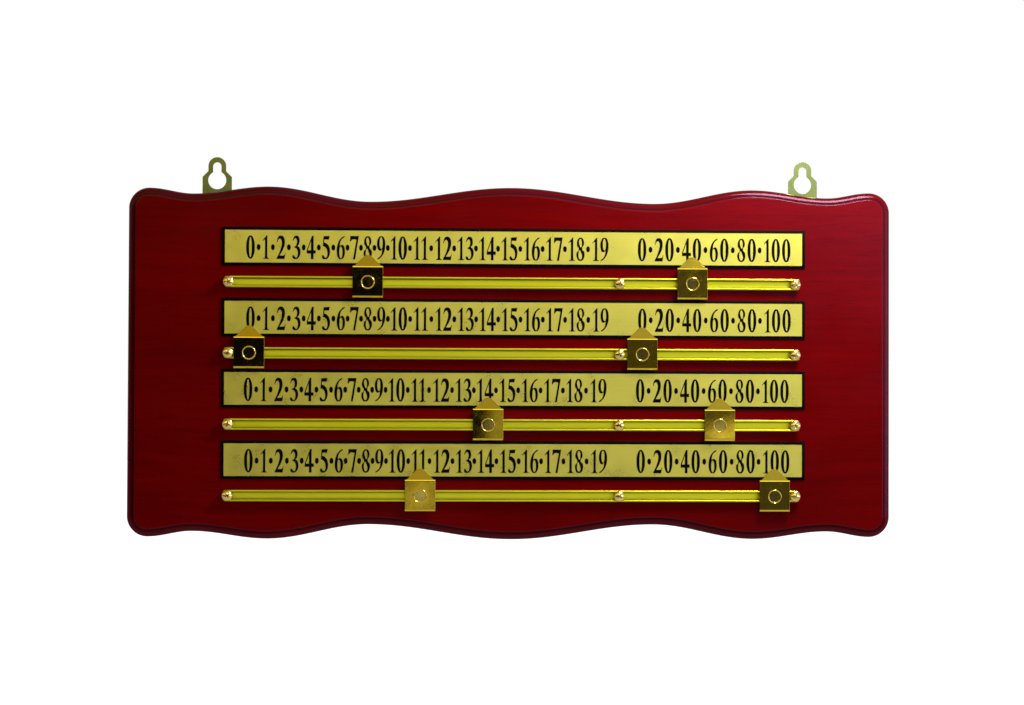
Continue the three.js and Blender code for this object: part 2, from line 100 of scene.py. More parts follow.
def arc(centre: Point2, radius: float, start: float, end: float, steps: int) -> Loop:
    """Points along a circular arc.

    Args:
        centre: Middle of the circle.
        radius: Its radius.
        start: First angle, in degrees.
        end: Last angle, in degrees.
        steps: How many pieces the arc has.

    Returns:
        The points, both ends among them.
    """
    angles = [math.radians(start + (end - start) * i / steps) for i in range(steps + 1)]
    return [(centre[0] + radius * math.cos(a), centre[1] + radius * math.sin(a)) for a in angles]


def heading(angle: float) -> Vector:
    """Direction at an angle in degrees, in a plane."""
    return Vector((math.cos(math.radians(angle)), math.sin(math.radians(angle))))


def rounded_rectangle(width: float, height: float, radius: float, steps: int = 4) -> Loop:
    """Plan of a rectangle with round corners, about its middle, anticlockwise.

    Args:
        width: Its size along X.
        height: Its size along Z.
        radius: Radius of its corners.
        steps: How many pieces each corner has.

    Returns:
        The points.
    """
    x, z = width / 2 - radius, height / 2 - radius
    corners = [((x, z), 0), ((-x, z), 90), ((-x, -z), 180), ((x, -z), 270)]
    return [p for centre, turn in corners for p in arc(centre, radius, turn, turn + 90, steps)]


def circle(centre: Point2, radius: float, steps: int) -> Loop:
    """Plan of a circle, without its first point repeated."""
    return arc(centre, radius, 0, 360, steps)[:-1]


def bend(
    centre: Point2, radius: float, start: float, end: float, steps: int
) -> list[tuple[Point2, float]]:
    """Points along a circular arc, each with its angle in degrees."""
    turns = [start + (end - start) * i / steps for i in range(steps + 1)]
    return list(zip(arc(centre, radius, start, end, steps), turns))


def quarter(steps: int) -> list[float]:
    """Angles from 0 to a right angle, in radians."""
    return [math.pi / 2 * i / steps for i in range(steps + 1)]


# ---------------- meshes

Face = tuple[int, ...]

SMOOTH_ANGLE = 35
CRISP_ANGLE = 15
MERGE_REACH = 1e-6
FLAT_ANGLE = math.radians(0.5)
SHARP_ANGLE = math.radians(30)


def bands(rings: int, size: int) -> list[Face]:
    """Faces that join neighbouring rings of size points each.

    Args:
        rings: How many rings there are.
        size: How many points each has.

    Returns:
        The faces, counted from the first ring's first point.
    """
    faces: list[Face] = []
    for r in range(rings - 1):
        for i in range(size):
            a, b = r * size + i, r * size + (i + 1) % size
            faces.append((a, b, b + size, a + size))
    return faces


def two_caps(caps: Sequence[Face], count: int) -> list[Face]:
    """A cap's triangles, and the same on the points that come count later, turned round."""
    return [tuple(cap) for cap in caps] + [tuple(count + i for i in reversed(cap)) for cap in caps]


@dataclass
class Draft:
    """Points and faces of a piece while it is drawn, in millimetres."""

    points: list[Point3] = field(default_factory=list)
    faces: list[Face] = field(default_factory=list)

    def add(self, points: Iterable[Point3], faces: Iterable[Sequence[int]]) -> "Draft":
        """Adds points, and faces that count from the first of them.

        Args:
            points: The points.
            faces: Their faces.

        Returns:
            The draft.
        """
        first = len(self.points)
        self.points.extend(points)
        self.faces.extend(tuple(first + i for i in face) for face in faces)
        return self

    def add_plan(
        self, near: Sequence[Loop], near_y: float, far_y: float, far: Optional[Sequence[Loop]] = None
    ) -> "Draft":
        """Adds a closed solid between two plans in the (x, z) plane.

        Args:
            near: Loops of the plan at near_y, the outer one first and then its holes.
            near_y: Where the first plan lies.
            far_y: Where the second plan lies.
            far: The same loops at far_y, with as many points each, where they differ.

        Returns:
            The draft.
        """
        caps = tessellate_polygon([[Vector((x, z, 0)) for x, z in loop] for loop in near])
        count = sum(len(loop) for loop in near)
        points = [(x, near_y, z) for loop in near for x, z in loop]
        points += [(x, far_y, z) for loop in far or near for x, z in loop]
        faces = two_caps(caps, count)
        first = 0
        for loop in near:
            size = len(loop)
            for i in range(size):
                a, b = first + i, first + (i + 1) % size
                faces.append((a, b, b + count, a + count))
            first += size
        return self.add(points, faces)

    def add_rings(self, rings: Sequence[Sequence[Point3]]) -> "Draft":
        """Adds the skin that joins rings of as many points each, and its two flat ends.

        Args:
            rings: The rings, from one end to the other.

        Returns:
            The draft.
        """
        size = len(rings[0])
        faces = bands(len(rings), size)
        for r in (0, len(rings) - 1):
            cap = tessellate_polygon([[Vector(p) for p in rings[r]]])
            faces += [tuple(r * size + i for i in triangle) for triangle in cap]
        return self.add([p for ring in rings for p in ring], faces)

    def add_lathe(self, profile: Sequence[Point2], steps: int) -> "Draft":
        """Adds a profile of (radius, y) points turned about the Y axis; its ends are on the axis.

        Args:
            profile: The profile, from its first end to its last.
            steps: How many points go round.

        Returns:
            The draft.
        """
        inner = [p for p in profile if p[0] > 0]
        turns = [2 * math.pi * i / steps for i in range(steps)]
        points = [(r * math.cos(t), y, r * math.sin(t)) for r, y in inner for t in turns]
        start, end = len(points), len(points) + 1
        points += [(0, profile[0][1], 0), (0, profile[-1][1], 0)]
        faces: list[Sequence[int]] = []
        last = (len(inner) - 1) * steps
        for i in range(steps):
            j = (i + 1) % steps
            for ring in range(len(inner) - 1):
                a, b = ring * steps + i, ring * steps + j
                faces.append((a, b, b + steps, a + steps))
            faces.append((start, i, j))
            faces.append((end, last + j, last + i))
        return self.add(points, faces)


def show(name: str, data: bpy.types.ID) -> Thing:
    """Puts a new object into the scene.

    Args:
        name: Its name.
        data: Its mesh, lamp or camera.

    Returns:
        The object.
    """
    item = bpy.data.objects.new(name, data)
    bpy.context.scene.collection.objects.link(item)
    return item


def shade(mesh: bpy.types.Mesh, smooth_angle: float) -> None:
    """Shades a mesh smooth, with sharp edges where it bends by more than smooth_angle degrees.

    Args:
        mesh: The mesh.
        smooth_angle: The bend, in degrees.
    """
    mesh.polygons.foreach_set("use_smooth", [True] * len(mesh.polygons))
    mesh.set_sharp_from_angle(angle=math.radians(smooth_angle))
    mesh.update()


def cast(
    name: str,
    draft: Draft,
    finish: Material,
    at: Vector = Vector(),
    bevel: float = 0,
    smooth_angle: float = SMOOTH_ANGLE,
    join_flats: bool = True,
) -> Thing:
    """Makes a piece from a draft.

    Args:
        name: Name of the piece.
        draft: What is drawn, in millimetres.
        finish: Its material.
        at: Where the middle of the drawing goes, in millimetres.
        bevel: Width that sharp edges are broken by, in millimetres.
        smooth_angle: Bend in degrees up to which the surface is shaded smooth.
        join_flats: Whether flat neighbours are joined before sharp edges are broken.

    Returns:
        The new object, at the origin, with its place in its mesh.
    """
    mesh = bpy.data.meshes.new(name)
    mesh.from_pydata([(Vector(p) + at) * MM for p in draft.points], [], draft.faces)
    work = bmesh.new()
    work.from_mesh(mesh)
    bmesh.ops.remove_doubles(work, verts=work.verts, dist=MERGE_REACH)
    bmesh.ops.dissolve_degenerate(work, edges=work.edges, dist=MERGE_REACH)
    bmesh.ops.recalc_face_normals(work, faces=work.faces)
    if bevel and join_flats:
        bmesh.ops.dissolve_limit(
            work, angle_limit=FLAT_ANGLE, verts=work.verts, edges=work.edges, delimit=set()
        )
    if bevel:
        sharp = [e for e in work.edges if e.calc_face_angle(0) > SHARP_ANGLE]
        bmesh.ops.bevel(
            work, geom=sharp, offset=bevel * MM, segments=2, profile=0.5, affect="EDGES",
            clamp_overlap=True,
        )
        bmesh.ops.triangulate(work, faces=[f for f in work.faces if len(f.verts) > 4])
    work.to_mesh(mesh)
    work.free()
    mesh.materials.append(finish)
    shade(mesh, smooth_angle)
    return show(name, mesh)


def carve(piece: Thing, *cutters: Thing) -> None:
    """Cuts cutters out of a piece, and removes them.

    Args:
        piece: The piece.
        cutters: Closed pieces that are taken away from it.
    """
    for cutter in cutters:
        cut = piece.modifiers.new("cut", "BOOLEAN")
        cut.operation = "DIFFERENCE"
        cut.solver = "EXACT"
        cut.object = cutter
    settle(piece)
    shade(piece.data, SMOOTH_ANGLE)
    for cutter in cutters:
        bpy.data.objects.remove(cutter)


def settle(piece: Thing) -> None:
    """Turns what a piece's modifiers make into its plain mesh, and removes them.

    Args:
        piece: The piece.
    """
    graph = bpy.context.evaluated_depsgraph_get()
    mesh = bpy.data.meshes.new_from_object(piece.evaluated_get(graph))
    piece.modifiers.clear()
    piece.data = mesh


def place(piece: Thing, body: str, slot: Optional[str], nodes: Sequence[str] = ()) -> None:
    """Says what body a piece rides on and what CAD nodes it stands for.

    Args:
        piece: The piece.
        body: The body that it rides on.
        slot: Not used.
        nodes: The CAD nodes that it stands for.
    """
    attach(piece, body)
    if nodes:
        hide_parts(*nodes)
    LOG.info("%s: %d faces, on %s", piece.name, len(piece.data.polygons), body)


# ---------------- node trees

class Bench:
    """Adds nodes to one tree and links them."""

    def __init__(self, tree: Tree) -> None:
        """Works on an empty tree."""
        self.tree = tree

    def add(
        self, kind: str, inputs: Optional[dict[Union[str, int], object]] = None, **settings: object
    ) -> bpy.types.Node:
        """Adds a node.

        Args:
            kind: The node's type name.
            inputs: A value, or a socket to link from, for each input by name or number.
            settings: The node's own settings.

        Returns:
            The new node.
        """
        node = self.tree.nodes.new(kind)
        for key, value in settings.items():
            setattr(node, key, value)
        for key, value in (inputs or {}).items():
            if isinstance(value, Socket):
                self.tree.links.new(value, node.inputs[key])
            else:
                node.inputs[key].default_value = value
        return node

    def math(self, operation: str, *values: Number, clamp: bool = False) -> Socket:
        """Adds a sum of numbers or sockets and returns its result."""
        node = self.add("ShaderNodeMath", dict(enumerate(values)), operation=operation, use_clamp=clamp)
        return node.outputs[0]

    def mix(
        self, share: Number, first: object, second: object, weight: float = 1, kind: str = "MIX"
    ) -> Socket:
        """Adds a blend of two colours.

        Args:
            share: How much of the second colour there is.
            first: A colour, or a socket to link from.
            second: Another.
            weight: What the share is multiplied by.
            kind: How the two are blended.

        Returns:
            The blend.
        """
        if weight != 1:
            share = self.math("MULTIPLY", share, weight)
        inputs = {0: share, 6: opaque(first), 7: opaque(second)}
        return self.add("ShaderNodeMix", inputs, data_type="RGBA", blend_type=kind).outputs[2]

    def weigh(self, first: tuple[Socket, float], second: tuple[Socket, float]) -> Socket:
        """Adds a sum of two sockets, each times its weight, and returns its result."""
        return self.math("ADD", self.math("MULTIPLY", *first), self.math("MULTIPLY", *second))

    def ramp(self, share: Socket, stops: Sequence[tuple[float, float]]) -> Socket:
        """Adds a curve of grey through (place, value) stops and returns its result.

        Args:
            share: What the curve is read by.
            stops: The stops, in order.

        Returns:
            The value.
        """
        node = self.add("ShaderNodeValToRGB", {0: share})
        elements = node.color_ramp.elements
        elements.remove(elements[1])
        elements[0].position, value = stops[0]
        elements[0].color = (value, value, value, 1)
        for position, value in stops[1:]:
            elements.new(position).color = (value, value, value, 1)
        return node.outputs[0]

    def noise(self, vector: Socket, scale: Number, detail: float = 3) -> Socket:
        """Adds a noise from 0 to 1 and returns its value."""
        inputs = {"Vector": vector, "Scale": scale, "Detail": detail}
        return self.add("ShaderNodeTexNoise", inputs).outputs[0]

    def stretch(self, vector: Socket, scale: Point3, turn: Point3 = (0, 0, 0)) -> Socket:
        """Adds a mapping that scales and turns coordinates and returns its result."""
        inputs = {"Vector": vector, "Scale": scale, "Rotation": turn}
        return self.add("ShaderNodeMapping", inputs).outputs[0]


def opaque(colour: object) -> object:
    """A colour with its alpha, or a socket as it is."""
    return colour if isinstance(colour, Socket) else (*colour, 1)


def label_of(key: str) -> str:
    """A socket's label, from a keyword."""
    return key.replace("_", " ").title()


class Group(Bench):
    """A shader node group with a Vector input, number inputs and number outputs."""

    def __init__(self, name: str, **inputs: float) -> None:
        """Starts the group, with each number input's first value.

        Args:
            name: The group's name.
            inputs: First value of each number input, by its label in lower case.
        """
        super().__init__(bpy.data.node_groups.new(name, "ShaderNodeTree"))
        self.tree.interface.new_socket("Vector", in_out="INPUT", socket_type="NodeSocketVector")
        for key, value in inputs.items():
            label, kind = label_of(key), "NodeSocketFloat"
            self.tree.interface.new_socket(label, in_out="INPUT", socket_type=kind).default_value = value
        self.inputs = self.add("NodeGroupInput").outputs

    def close(self, **outputs: Socket) -> Tree:
        """Puts out each socket under its name, and returns the finished tree.

        Args:
            outputs: The sockets, by their labels in lower case.

        Returns:
            The tree.
        """
        for key in outputs:
            self.tree.interface.new_socket(label_of(key), in_out="OUTPUT", socket_type="NodeSocketFloat")
        self.add("NodeGroupOutput", {label_of(key): socket for key, socket in outputs.items()})
        return self.tree


class Effects:
    """Shader node groups that more than one finish uses, each built once."""

    def __init__(self) -> None:
        """Builds the groups."""
        self.cloud = self._cloud()
        self.brushing = self._brushing()
        self.grain = self._grain()
        self.peel = self._peel()

    @staticmethod
    def _cloud() -> Tree:
        """Soft mottling, between the values Low and High.

        Returns:
            The group.
        """
        bench = Group("soft_cloud", scale=20, low=0, high=1)
        spread = bench.add("ShaderNodeMapRange", {
            "Value": bench.noise(bench.inputs["Vector"], bench.inputs["Scale"]),
            "From Min": 0.15, "From Max": 0.85,
            "To Min": bench.inputs["Low"], "To Max": bench.inputs["High"],
        })
        return bench.close(value=spread.outputs[0])

    @staticmethod
    def _brushing() -> Tree:
        """Fine lines along X, as drawing, rolling and polishing leave them: from 0 to 1.

        Returns:
            The group.
        """
        bench = Group("brushing", scale=900, stretch=0.02)
        parts = bench.add("ShaderNodeSeparateXYZ", {0: bench.inputs["Vector"]}).outputs
        long = bench.math("MULTIPLY", parts[0], bench.inputs["Stretch"])
        joined = bench.add("ShaderNodeCombineXYZ", {0: long, 1: parts[1], 2: parts[2]})
        return bench.close(value=bench.noise(joined.outputs[0], bench.inputs["Scale"], 4))

    @staticmethod
    def _grain() -> Tree:
        """Wood grain along X: broad figure, fine fibre and dark pores, each from 0 to 1.

        Returns:
            The group.
        """
        bench = Group("wood_grain", figure_scale=9, fibre_scale=260, wander=0.02)
        vector = bench.inputs["Vector"]
        waver = bench.math("SUBTRACT", bench.noise(bench.stretch(vector, (4, 4, 7)), 1, 2), 0.5)
        wander = bench.math("MULTIPLY", waver, bench.inputs["Wander"])
        parts = bench.add("ShaderNodeSeparateXYZ", {0: vector}).outputs
        across = bench.math("ADD", parts[2], wander)
        bent = bench.add("ShaderNodeCombineXYZ", {0: parts[0], 1: parts[1], 2: across}).outputs[0]
        figure = bench.noise(bench.stretch(bent, (0.35, 1, 2.2)), bench.inputs["Figure Scale"], 4)
        fibre = bench.noise(bench.stretch(bent, (0.05, 1, 1)), bench.inputs["Fibre Scale"], 3)
        pores = bench.noise(bench.stretch(bent, (0.035, 1, 1)), 1500, 1)
        return bench.close(
            figure=bench.ramp(figure, [(0.3, 0), (0.7, 1)]),
            fibre=bench.ramp(fibre, [(0.3, 0), (0.7, 1)]),
            pores=bench.ramp(pores, [(0.6, 0), (0.72, 1)]),
        )

    @staticmethod
    def _peel() -> Tree:
        """Height of a sprayed lacquer's slightly uneven skin."""
        bench = Group("orange_peel", scale=500)
        return bench.close(height=bench.noise(bench.inputs["Vector"], bench.inputs["Scale"], 1))


class Paint:
    """A material being made: its Principled shader, object coordinates and a bench to work on."""

    def __init__(self, name: str, constants: dict[str, object]) -> None:
        """Starts a material.

        Args:
            name: The material's name.
            constants: Values of the Principled shader that are the same all over.
        """
        self.material = bpy.data.materials.new(name)
        self.material.use_nodes = True
        self.bench = Bench(self.material.node_tree)
        self.shader = self.material.node_tree.nodes["Principled BSDF"]
        for key, value in constants.items():
            self.shader.inputs[key].default_value = value
        self.coordinates = self.bench.add("ShaderNodeTexCoord").outputs["Object"]

    def effect(self, tree: Tree, **values: Number) -> list[Socket]:
        """Places a shared effect on the object's coordinates and returns its outputs.

        Args:
            tree: The effect.
            values: Its inputs, by their labels in lower case.

        Returns:
            The outputs.
        """
        inputs = {label_of(key): value for key, value in values.items()}
        inputs.setdefault("Vector", self.coordinates)
        return list(self.bench.add("ShaderNodeGroup", inputs, node_tree=tree).outputs)

    def feed(self, **sockets: Socket) -> None:
        """Links sockets to the shader's inputs."""
        for key, socket in sockets.items():
            self.bench.tree.links.new(socket, self.shader.inputs[label_of(key)])

    def bump(self, height: Socket, distance: float, strength: float) -> None:
        """Feeds the shader's normal from a height, whose full range is distance metres."""
        inputs = {"Height": height, "Distance": distance, "Strength": strength}
        self.feed(normal=self.bench.add("ShaderNodeBump", inputs).outputs[0])


# ---------------- finishes

@dataclass(frozen=True)
class LacqueredWood:
    """Mahogany-red stain under a clear gloss lacquer, with painted shadow along the ledge step and painted
    shade on the moulded edge.
    """

    shadow: Colour = (0.044, 0.0002, 0.0003)
    body: Colour = (0.106, 0.0003, 0.0003)
    glow: Colour = (0.18, 0.0006, 0.0004)
    # Near-black red of the pores, also used for the painted shadow at the ledge and the painted shade on the
    # moulded edge.
    groove: Colour = (0.008, 0.0003, 0.0005)
    roughness: Point2 = (0.07, 0.18)
    figure_share: float = 0.55
    fibre_share: float = 0.28
    pore_share: float = 0.3
    ledge_y: float = -13.7
    # Painted shadow along the ledge step: how far it reaches each way and how dark it is.
    ledge_reach: float = 0.4
    ledge_share: float = 0.75
    # Painted shade on the round-over: where it starts near the ledge, where it is full towards the edge, and
    # how dark it gets.
    shaded_y: Point2 = (-13.3, -11.2)
    shaded_share: float = 0.88

    def make(self, effects: Effects) -> Material:
        """Builds the material.

        Args:
            effects: The shared effects.

        Returns:
            The material.
        """
        paint = Paint("lacquered_wood", {
            "IOR": 1.48, "Specular IOR Level": 0.14, "Specular Tint": (0.9, 0.6, 0.9, 1),
        })
        bench = paint.bench
        figure, fibre, pores = paint.effect(effects.grain, figure_scale=9, fibre_scale=230, wander=0.03)
        cloud = paint.effect(effects.cloud, scale=11, low=0, high=1)[0]
        tone = bench.weigh((figure, self.figure_share), (cloud, 1 - self.figure_share))
        colour = bench.mix(0.5, bench.mix(tone, self.shadow, self.glow), self.body)
        colour = bench.mix(fibre, colour, self.shadow, self.fibre_share)
        colour = bench.mix(pores, colour, self.groove, self.pore_share)
        y = bench.add("ShaderNodeSeparateXYZ", {0: paint.coordinates}).outputs[1]
        # Painted shadow: a thin dark band either side of the ledge step.
        gap = bench.math("ABSOLUTE", bench.math("SUBTRACT", y, self.ledge_y * MM))
        ledge = bench.math("SUBTRACT", 1, bench.math("DIVIDE", gap, self.ledge_reach * MM), clamp=True)
        colour = bench.mix(ledge, colour, self.groove, self.ledge_share)
        # Painted shade: darkens the round-over from near the ledge out to the outer edge.
        start, end = (edge * MM for edge in self.shaded_y)
        edge_shade = bench.add("ShaderNodeMapRange", {"Value": y, "From Min": start, "From Max": end}).outputs[0]
        colour = bench.mix(edge_shade, colour, self.groove, self.shaded_share)
        low, high = self.roughness
        paint.feed(base_color=colour, roughness=paint.effect(effects.cloud, scale=35, low=low, high=high)[0])
        peel = paint.effect(effects.peel, scale=520)[0]
        paint.bump(bench.math("ADD", peel, bench.math("MULTIPLY", pores, -0.3)), 0.00004, 0.6)
        return paint.material


@dataclass(frozen=True)
class GoldPlate:
    """Satin gold plate of the number strips."""

    bright: Colour = (0.96, 0.86, 0.12)
    dull: Colour = (0.82, 0.7, 0.05)
    roughness: Point2 = (0.25, 0.34)

    def make(self, effects: Effects) -> Material:
        """Builds the material.

        Args:
            effects: The shared effects.

        Returns:
            The material.
        """
        paint = Paint("gold_plate", {
            "Metallic": 0.92, "Coat Weight": 0.45, "Coat Roughness": 0.4, "Coat IOR": 1.55,
        })
        lines = paint.effect(effects.brushing, scale=1400, stretch=0.03)[0]
        cloud = paint.effect(effects.cloud, scale=40, low=0.2, high=0.8)[0]
        tone = paint.bench.weigh((lines, 0.5), (cloud, 0.5))
        low, high = self.roughness
        rough = paint.effect(effects.cloud, scale=90, low=low, high=high)[0]
        paint.feed(base_color=paint.bench.mix(tone, self.dull, self.bright), roughness=rough)
        paint.bump(lines, 0.00002, 0.12)
        return paint.material


@dataclass(frozen=True)
class PrintInk:
    """Black printing on the strips."""

    colour: Colour = (0.0012, 0.001, 0.001)
    worn: Colour = (0.003, 0.0025, 0.002)

    def make(self, effects: Effects) -> Material:
        """Builds the material.

        Args:
            effects: The shared effects.

        Returns:
            The material.
        """
        paint = Paint("print_ink", {"Specular IOR Level": 0.02})
        cloud = paint.effect(effects.cloud, scale=300, low=0, high=1)[0]
        rough = paint.effect(effects.cloud, scale=120, low=0.42, high=0.55)[0]
        paint.feed(base_color=paint.bench.mix(cloud, self.colour, self.worn), roughness=rough)
        return paint.material


class Drawn(Enum):
    """Which way a brass piece was drawn or polished, as turns of the lines about Y, in degrees."""

    ALONG = 0
    SLANTED = 35
    UPRIGHT = 90


@dataclass(frozen=True)
class Brass:
    """Brass, with polishing lines, uneven tarnish and small specks; darker where a named mesh attribute says,
    which holds painted shade and an even darker tone.
    """

    name: str
    bright: Colour
    tarnish: Colour
    roughness: float
    drawn: Drawn = Drawn.ALONG
    dull_share: Optional[str] = None
    spread: float = 0.04
    tarnish_share: float = 0.5
    line_share: float = 0.25
    speck_share: float = 0.35
    speck_roughness: float = 0.1
    # Dark colour that the painted shade mixes towards.
    dull: Colour = (0.2, 0.12, 0.01)

    def make(self, effects: Effects) -> Material:
        """Builds the material.

        Args:
            effects: The shared effects.

        Returns:
            The material.
        """
        paint = Paint(self.name, {"Metallic": 1.0})
        bench = paint.bench
        turned = bench.stretch(paint.coordinates, (1, 1, 1), (0, math.radians(self.drawn.value), 0))
        lines = paint.effect(effects.brushing, vector=turned, scale=1600, stretch=0.02)[0]
        cloud = paint.effect(effects.cloud, scale=70, low=0, high=self.tarnish_share)[0]
        specks = bench.ramp(bench.noise(paint.coordinates, 900, 2), [(0.66, 0), (0.72, 1)])
        colour = bench.mix(cloud, self.bright, self.tarnish)
        colour = bench.mix(lines, colour, self.tarnish, self.line_share)
        colour = bench.mix(specks, colour, self.tarnish, self.speck_share)
        # Painted shade, with an even darker tone elsewhere, read from the mesh attribute.
        if self.dull_share:
            share = bench.add("ShaderNodeAttribute", attribute_name=self.dull_share).outputs["Fac"]
            colour = bench.mix(share, colour, self.dull)
        low, high = self.roughness - self.spread, self.roughness + self.spread
        rough = paint.effect(effects.cloud, scale=160, low=low, high=high)[0]
        rough = bench.math("ADD", rough, bench.math("MULTIPLY", specks, self.speck_roughness))
        paint.feed(base_color=colour, roughness=rough)
        paint.bump(lines, 0.00001, 0.4)
        return paint.material


class Finishes:
    """Every finish of the board, made once."""

    def __init__(self) -> None:
        """Makes the finishes."""
        effects = Effects()
        self.wood = LacqueredWood().make(effects)
        self.gold = GoldPlate().make(effects)
        self.ink = PrintInk().make(effects)
        self.rail, self.screw, self.pointer, self.rivet, self.hanger = (brass.make(effects) for brass in (
            # The rail's brass is darkened by painted shade under the lips, read from a mesh attribute.
            Brass("rail_brass", (0.9, 0.89, 0.03), (0.8, 0.76, 0.02), 0.39, dull_share="lip_shade_and_tone"),
            Brass("screw_brass", (0.98, 0.78, 0.28), (0.7, 0.48, 0.1), 0.16),
            Brass("pointer_brass", (0.88, 0.64, 0.05), (0.66, 0.42, 0.02), 0.07, Drawn.SLANTED),
            Brass("rivet_brass", (0.88, 0.66, 0.14), (0.6, 0.4, 0.05), 0.09, Drawn.UPRIGHT),
            Brass("hanger_brass", (0.31, 0.36, 0.1), (0.2, 0.24, 0.05), 0.24, Drawn.UPRIGHT),
        ))


# ---------------- repeats

class Repeater:
    """A Geometry Nodes tree that sets one shape on every point, each turned by its own angle."""

    def __init__(self) -> None:
        """Builds the tree."""
        tree = bpy.data.node_groups.new("repeat_on_points", "GeometryNodeTree")
        wanted = [
            ("Geometry", "INPUT", "NodeSocketGeometry"), ("Shape", "INPUT", "NodeSocketObject"),
            ("Turn", "INPUT", "NodeSocketFloat"), ("Seed", "INPUT", "NodeSocketInt"),
            ("Finish", "INPUT", "NodeSocketMaterial"),
            ("Geometry", "OUTPUT", "NodeSocketGeometry"),
        ]
        self.identifiers = {}
        for label, way, kind in wanted:
            socket = tree.interface.new_socket(label, in_out=way, socket_type=kind)
            if way == "INPUT":
                self.identifiers[label] = socket.identifier
        bench = Bench(tree)
        start = bench.add("NodeGroupInput").outputs
        shape = bench.add("GeometryNodeObjectInfo", {"Object": start["Shape"]})
        turn = bench.add(
            "FunctionNodeRandomValue", {2: 0.0, 3: start["Turn"], "Seed": start["Seed"]}, data_type="FLOAT",
        )
        angles = bench.add("ShaderNodeCombineXYZ", {1: turn.outputs[1]})
        spread = bench.add("GeometryNodeInstanceOnPoints", {
            "Points": start["Geometry"], "Instance": shape.outputs["Geometry"],
            "Rotation": angles.outputs[0],
        })
        real = bench.add("GeometryNodeRealizeInstances", {0: spread.outputs[0]})
        dressed = bench.add("GeometryNodeSetMaterial", {
            "Geometry": real.outputs[0], "Material": start["Finish"],
        })
        bench.add("NodeGroupOutput", {0: dressed.outputs[0]})
        self.tree = tree

    def spread(
        self,
        name: str,
        shape: Thing,
        points: Sequence[Point3],
        finish: Material,
        turn: float = 0,
        seed: int = 0,
    ) -> Thing:
        """Sets a shape on points and makes one plain mesh of them.

        Args:
            name: Name of the new piece.
            shape: What is repeated, drawn about the origin; it is removed.
            points: Where, in millimetres.
            finish: The material of the piece.
            turn: Largest angle that a copy is turned by about Y, in degrees.
            seed: Start of the random turns.

        Returns:
            The new piece.
        """
        mesh = bpy.data.meshes.new(name)
        mesh.from_pydata([Vector(p) * MM for p in points], [], [])
        piece = show(name, mesh)
        modifier = piece.modifiers.new("repeat", "NODES")
        modifier.node_group = self.tree
        values = {"Shape": shape, "Turn": math.radians(turn), "Seed": seed, "Finish": finish}
        for label, value in values.items():
            modifier[self.identifiers[label]] = value
        settle(piece)
        bpy.data.objects.remove(shape)
        shade(piece.data, SMOOTH_ANGLE)
        return piece


# ---------------- backboard

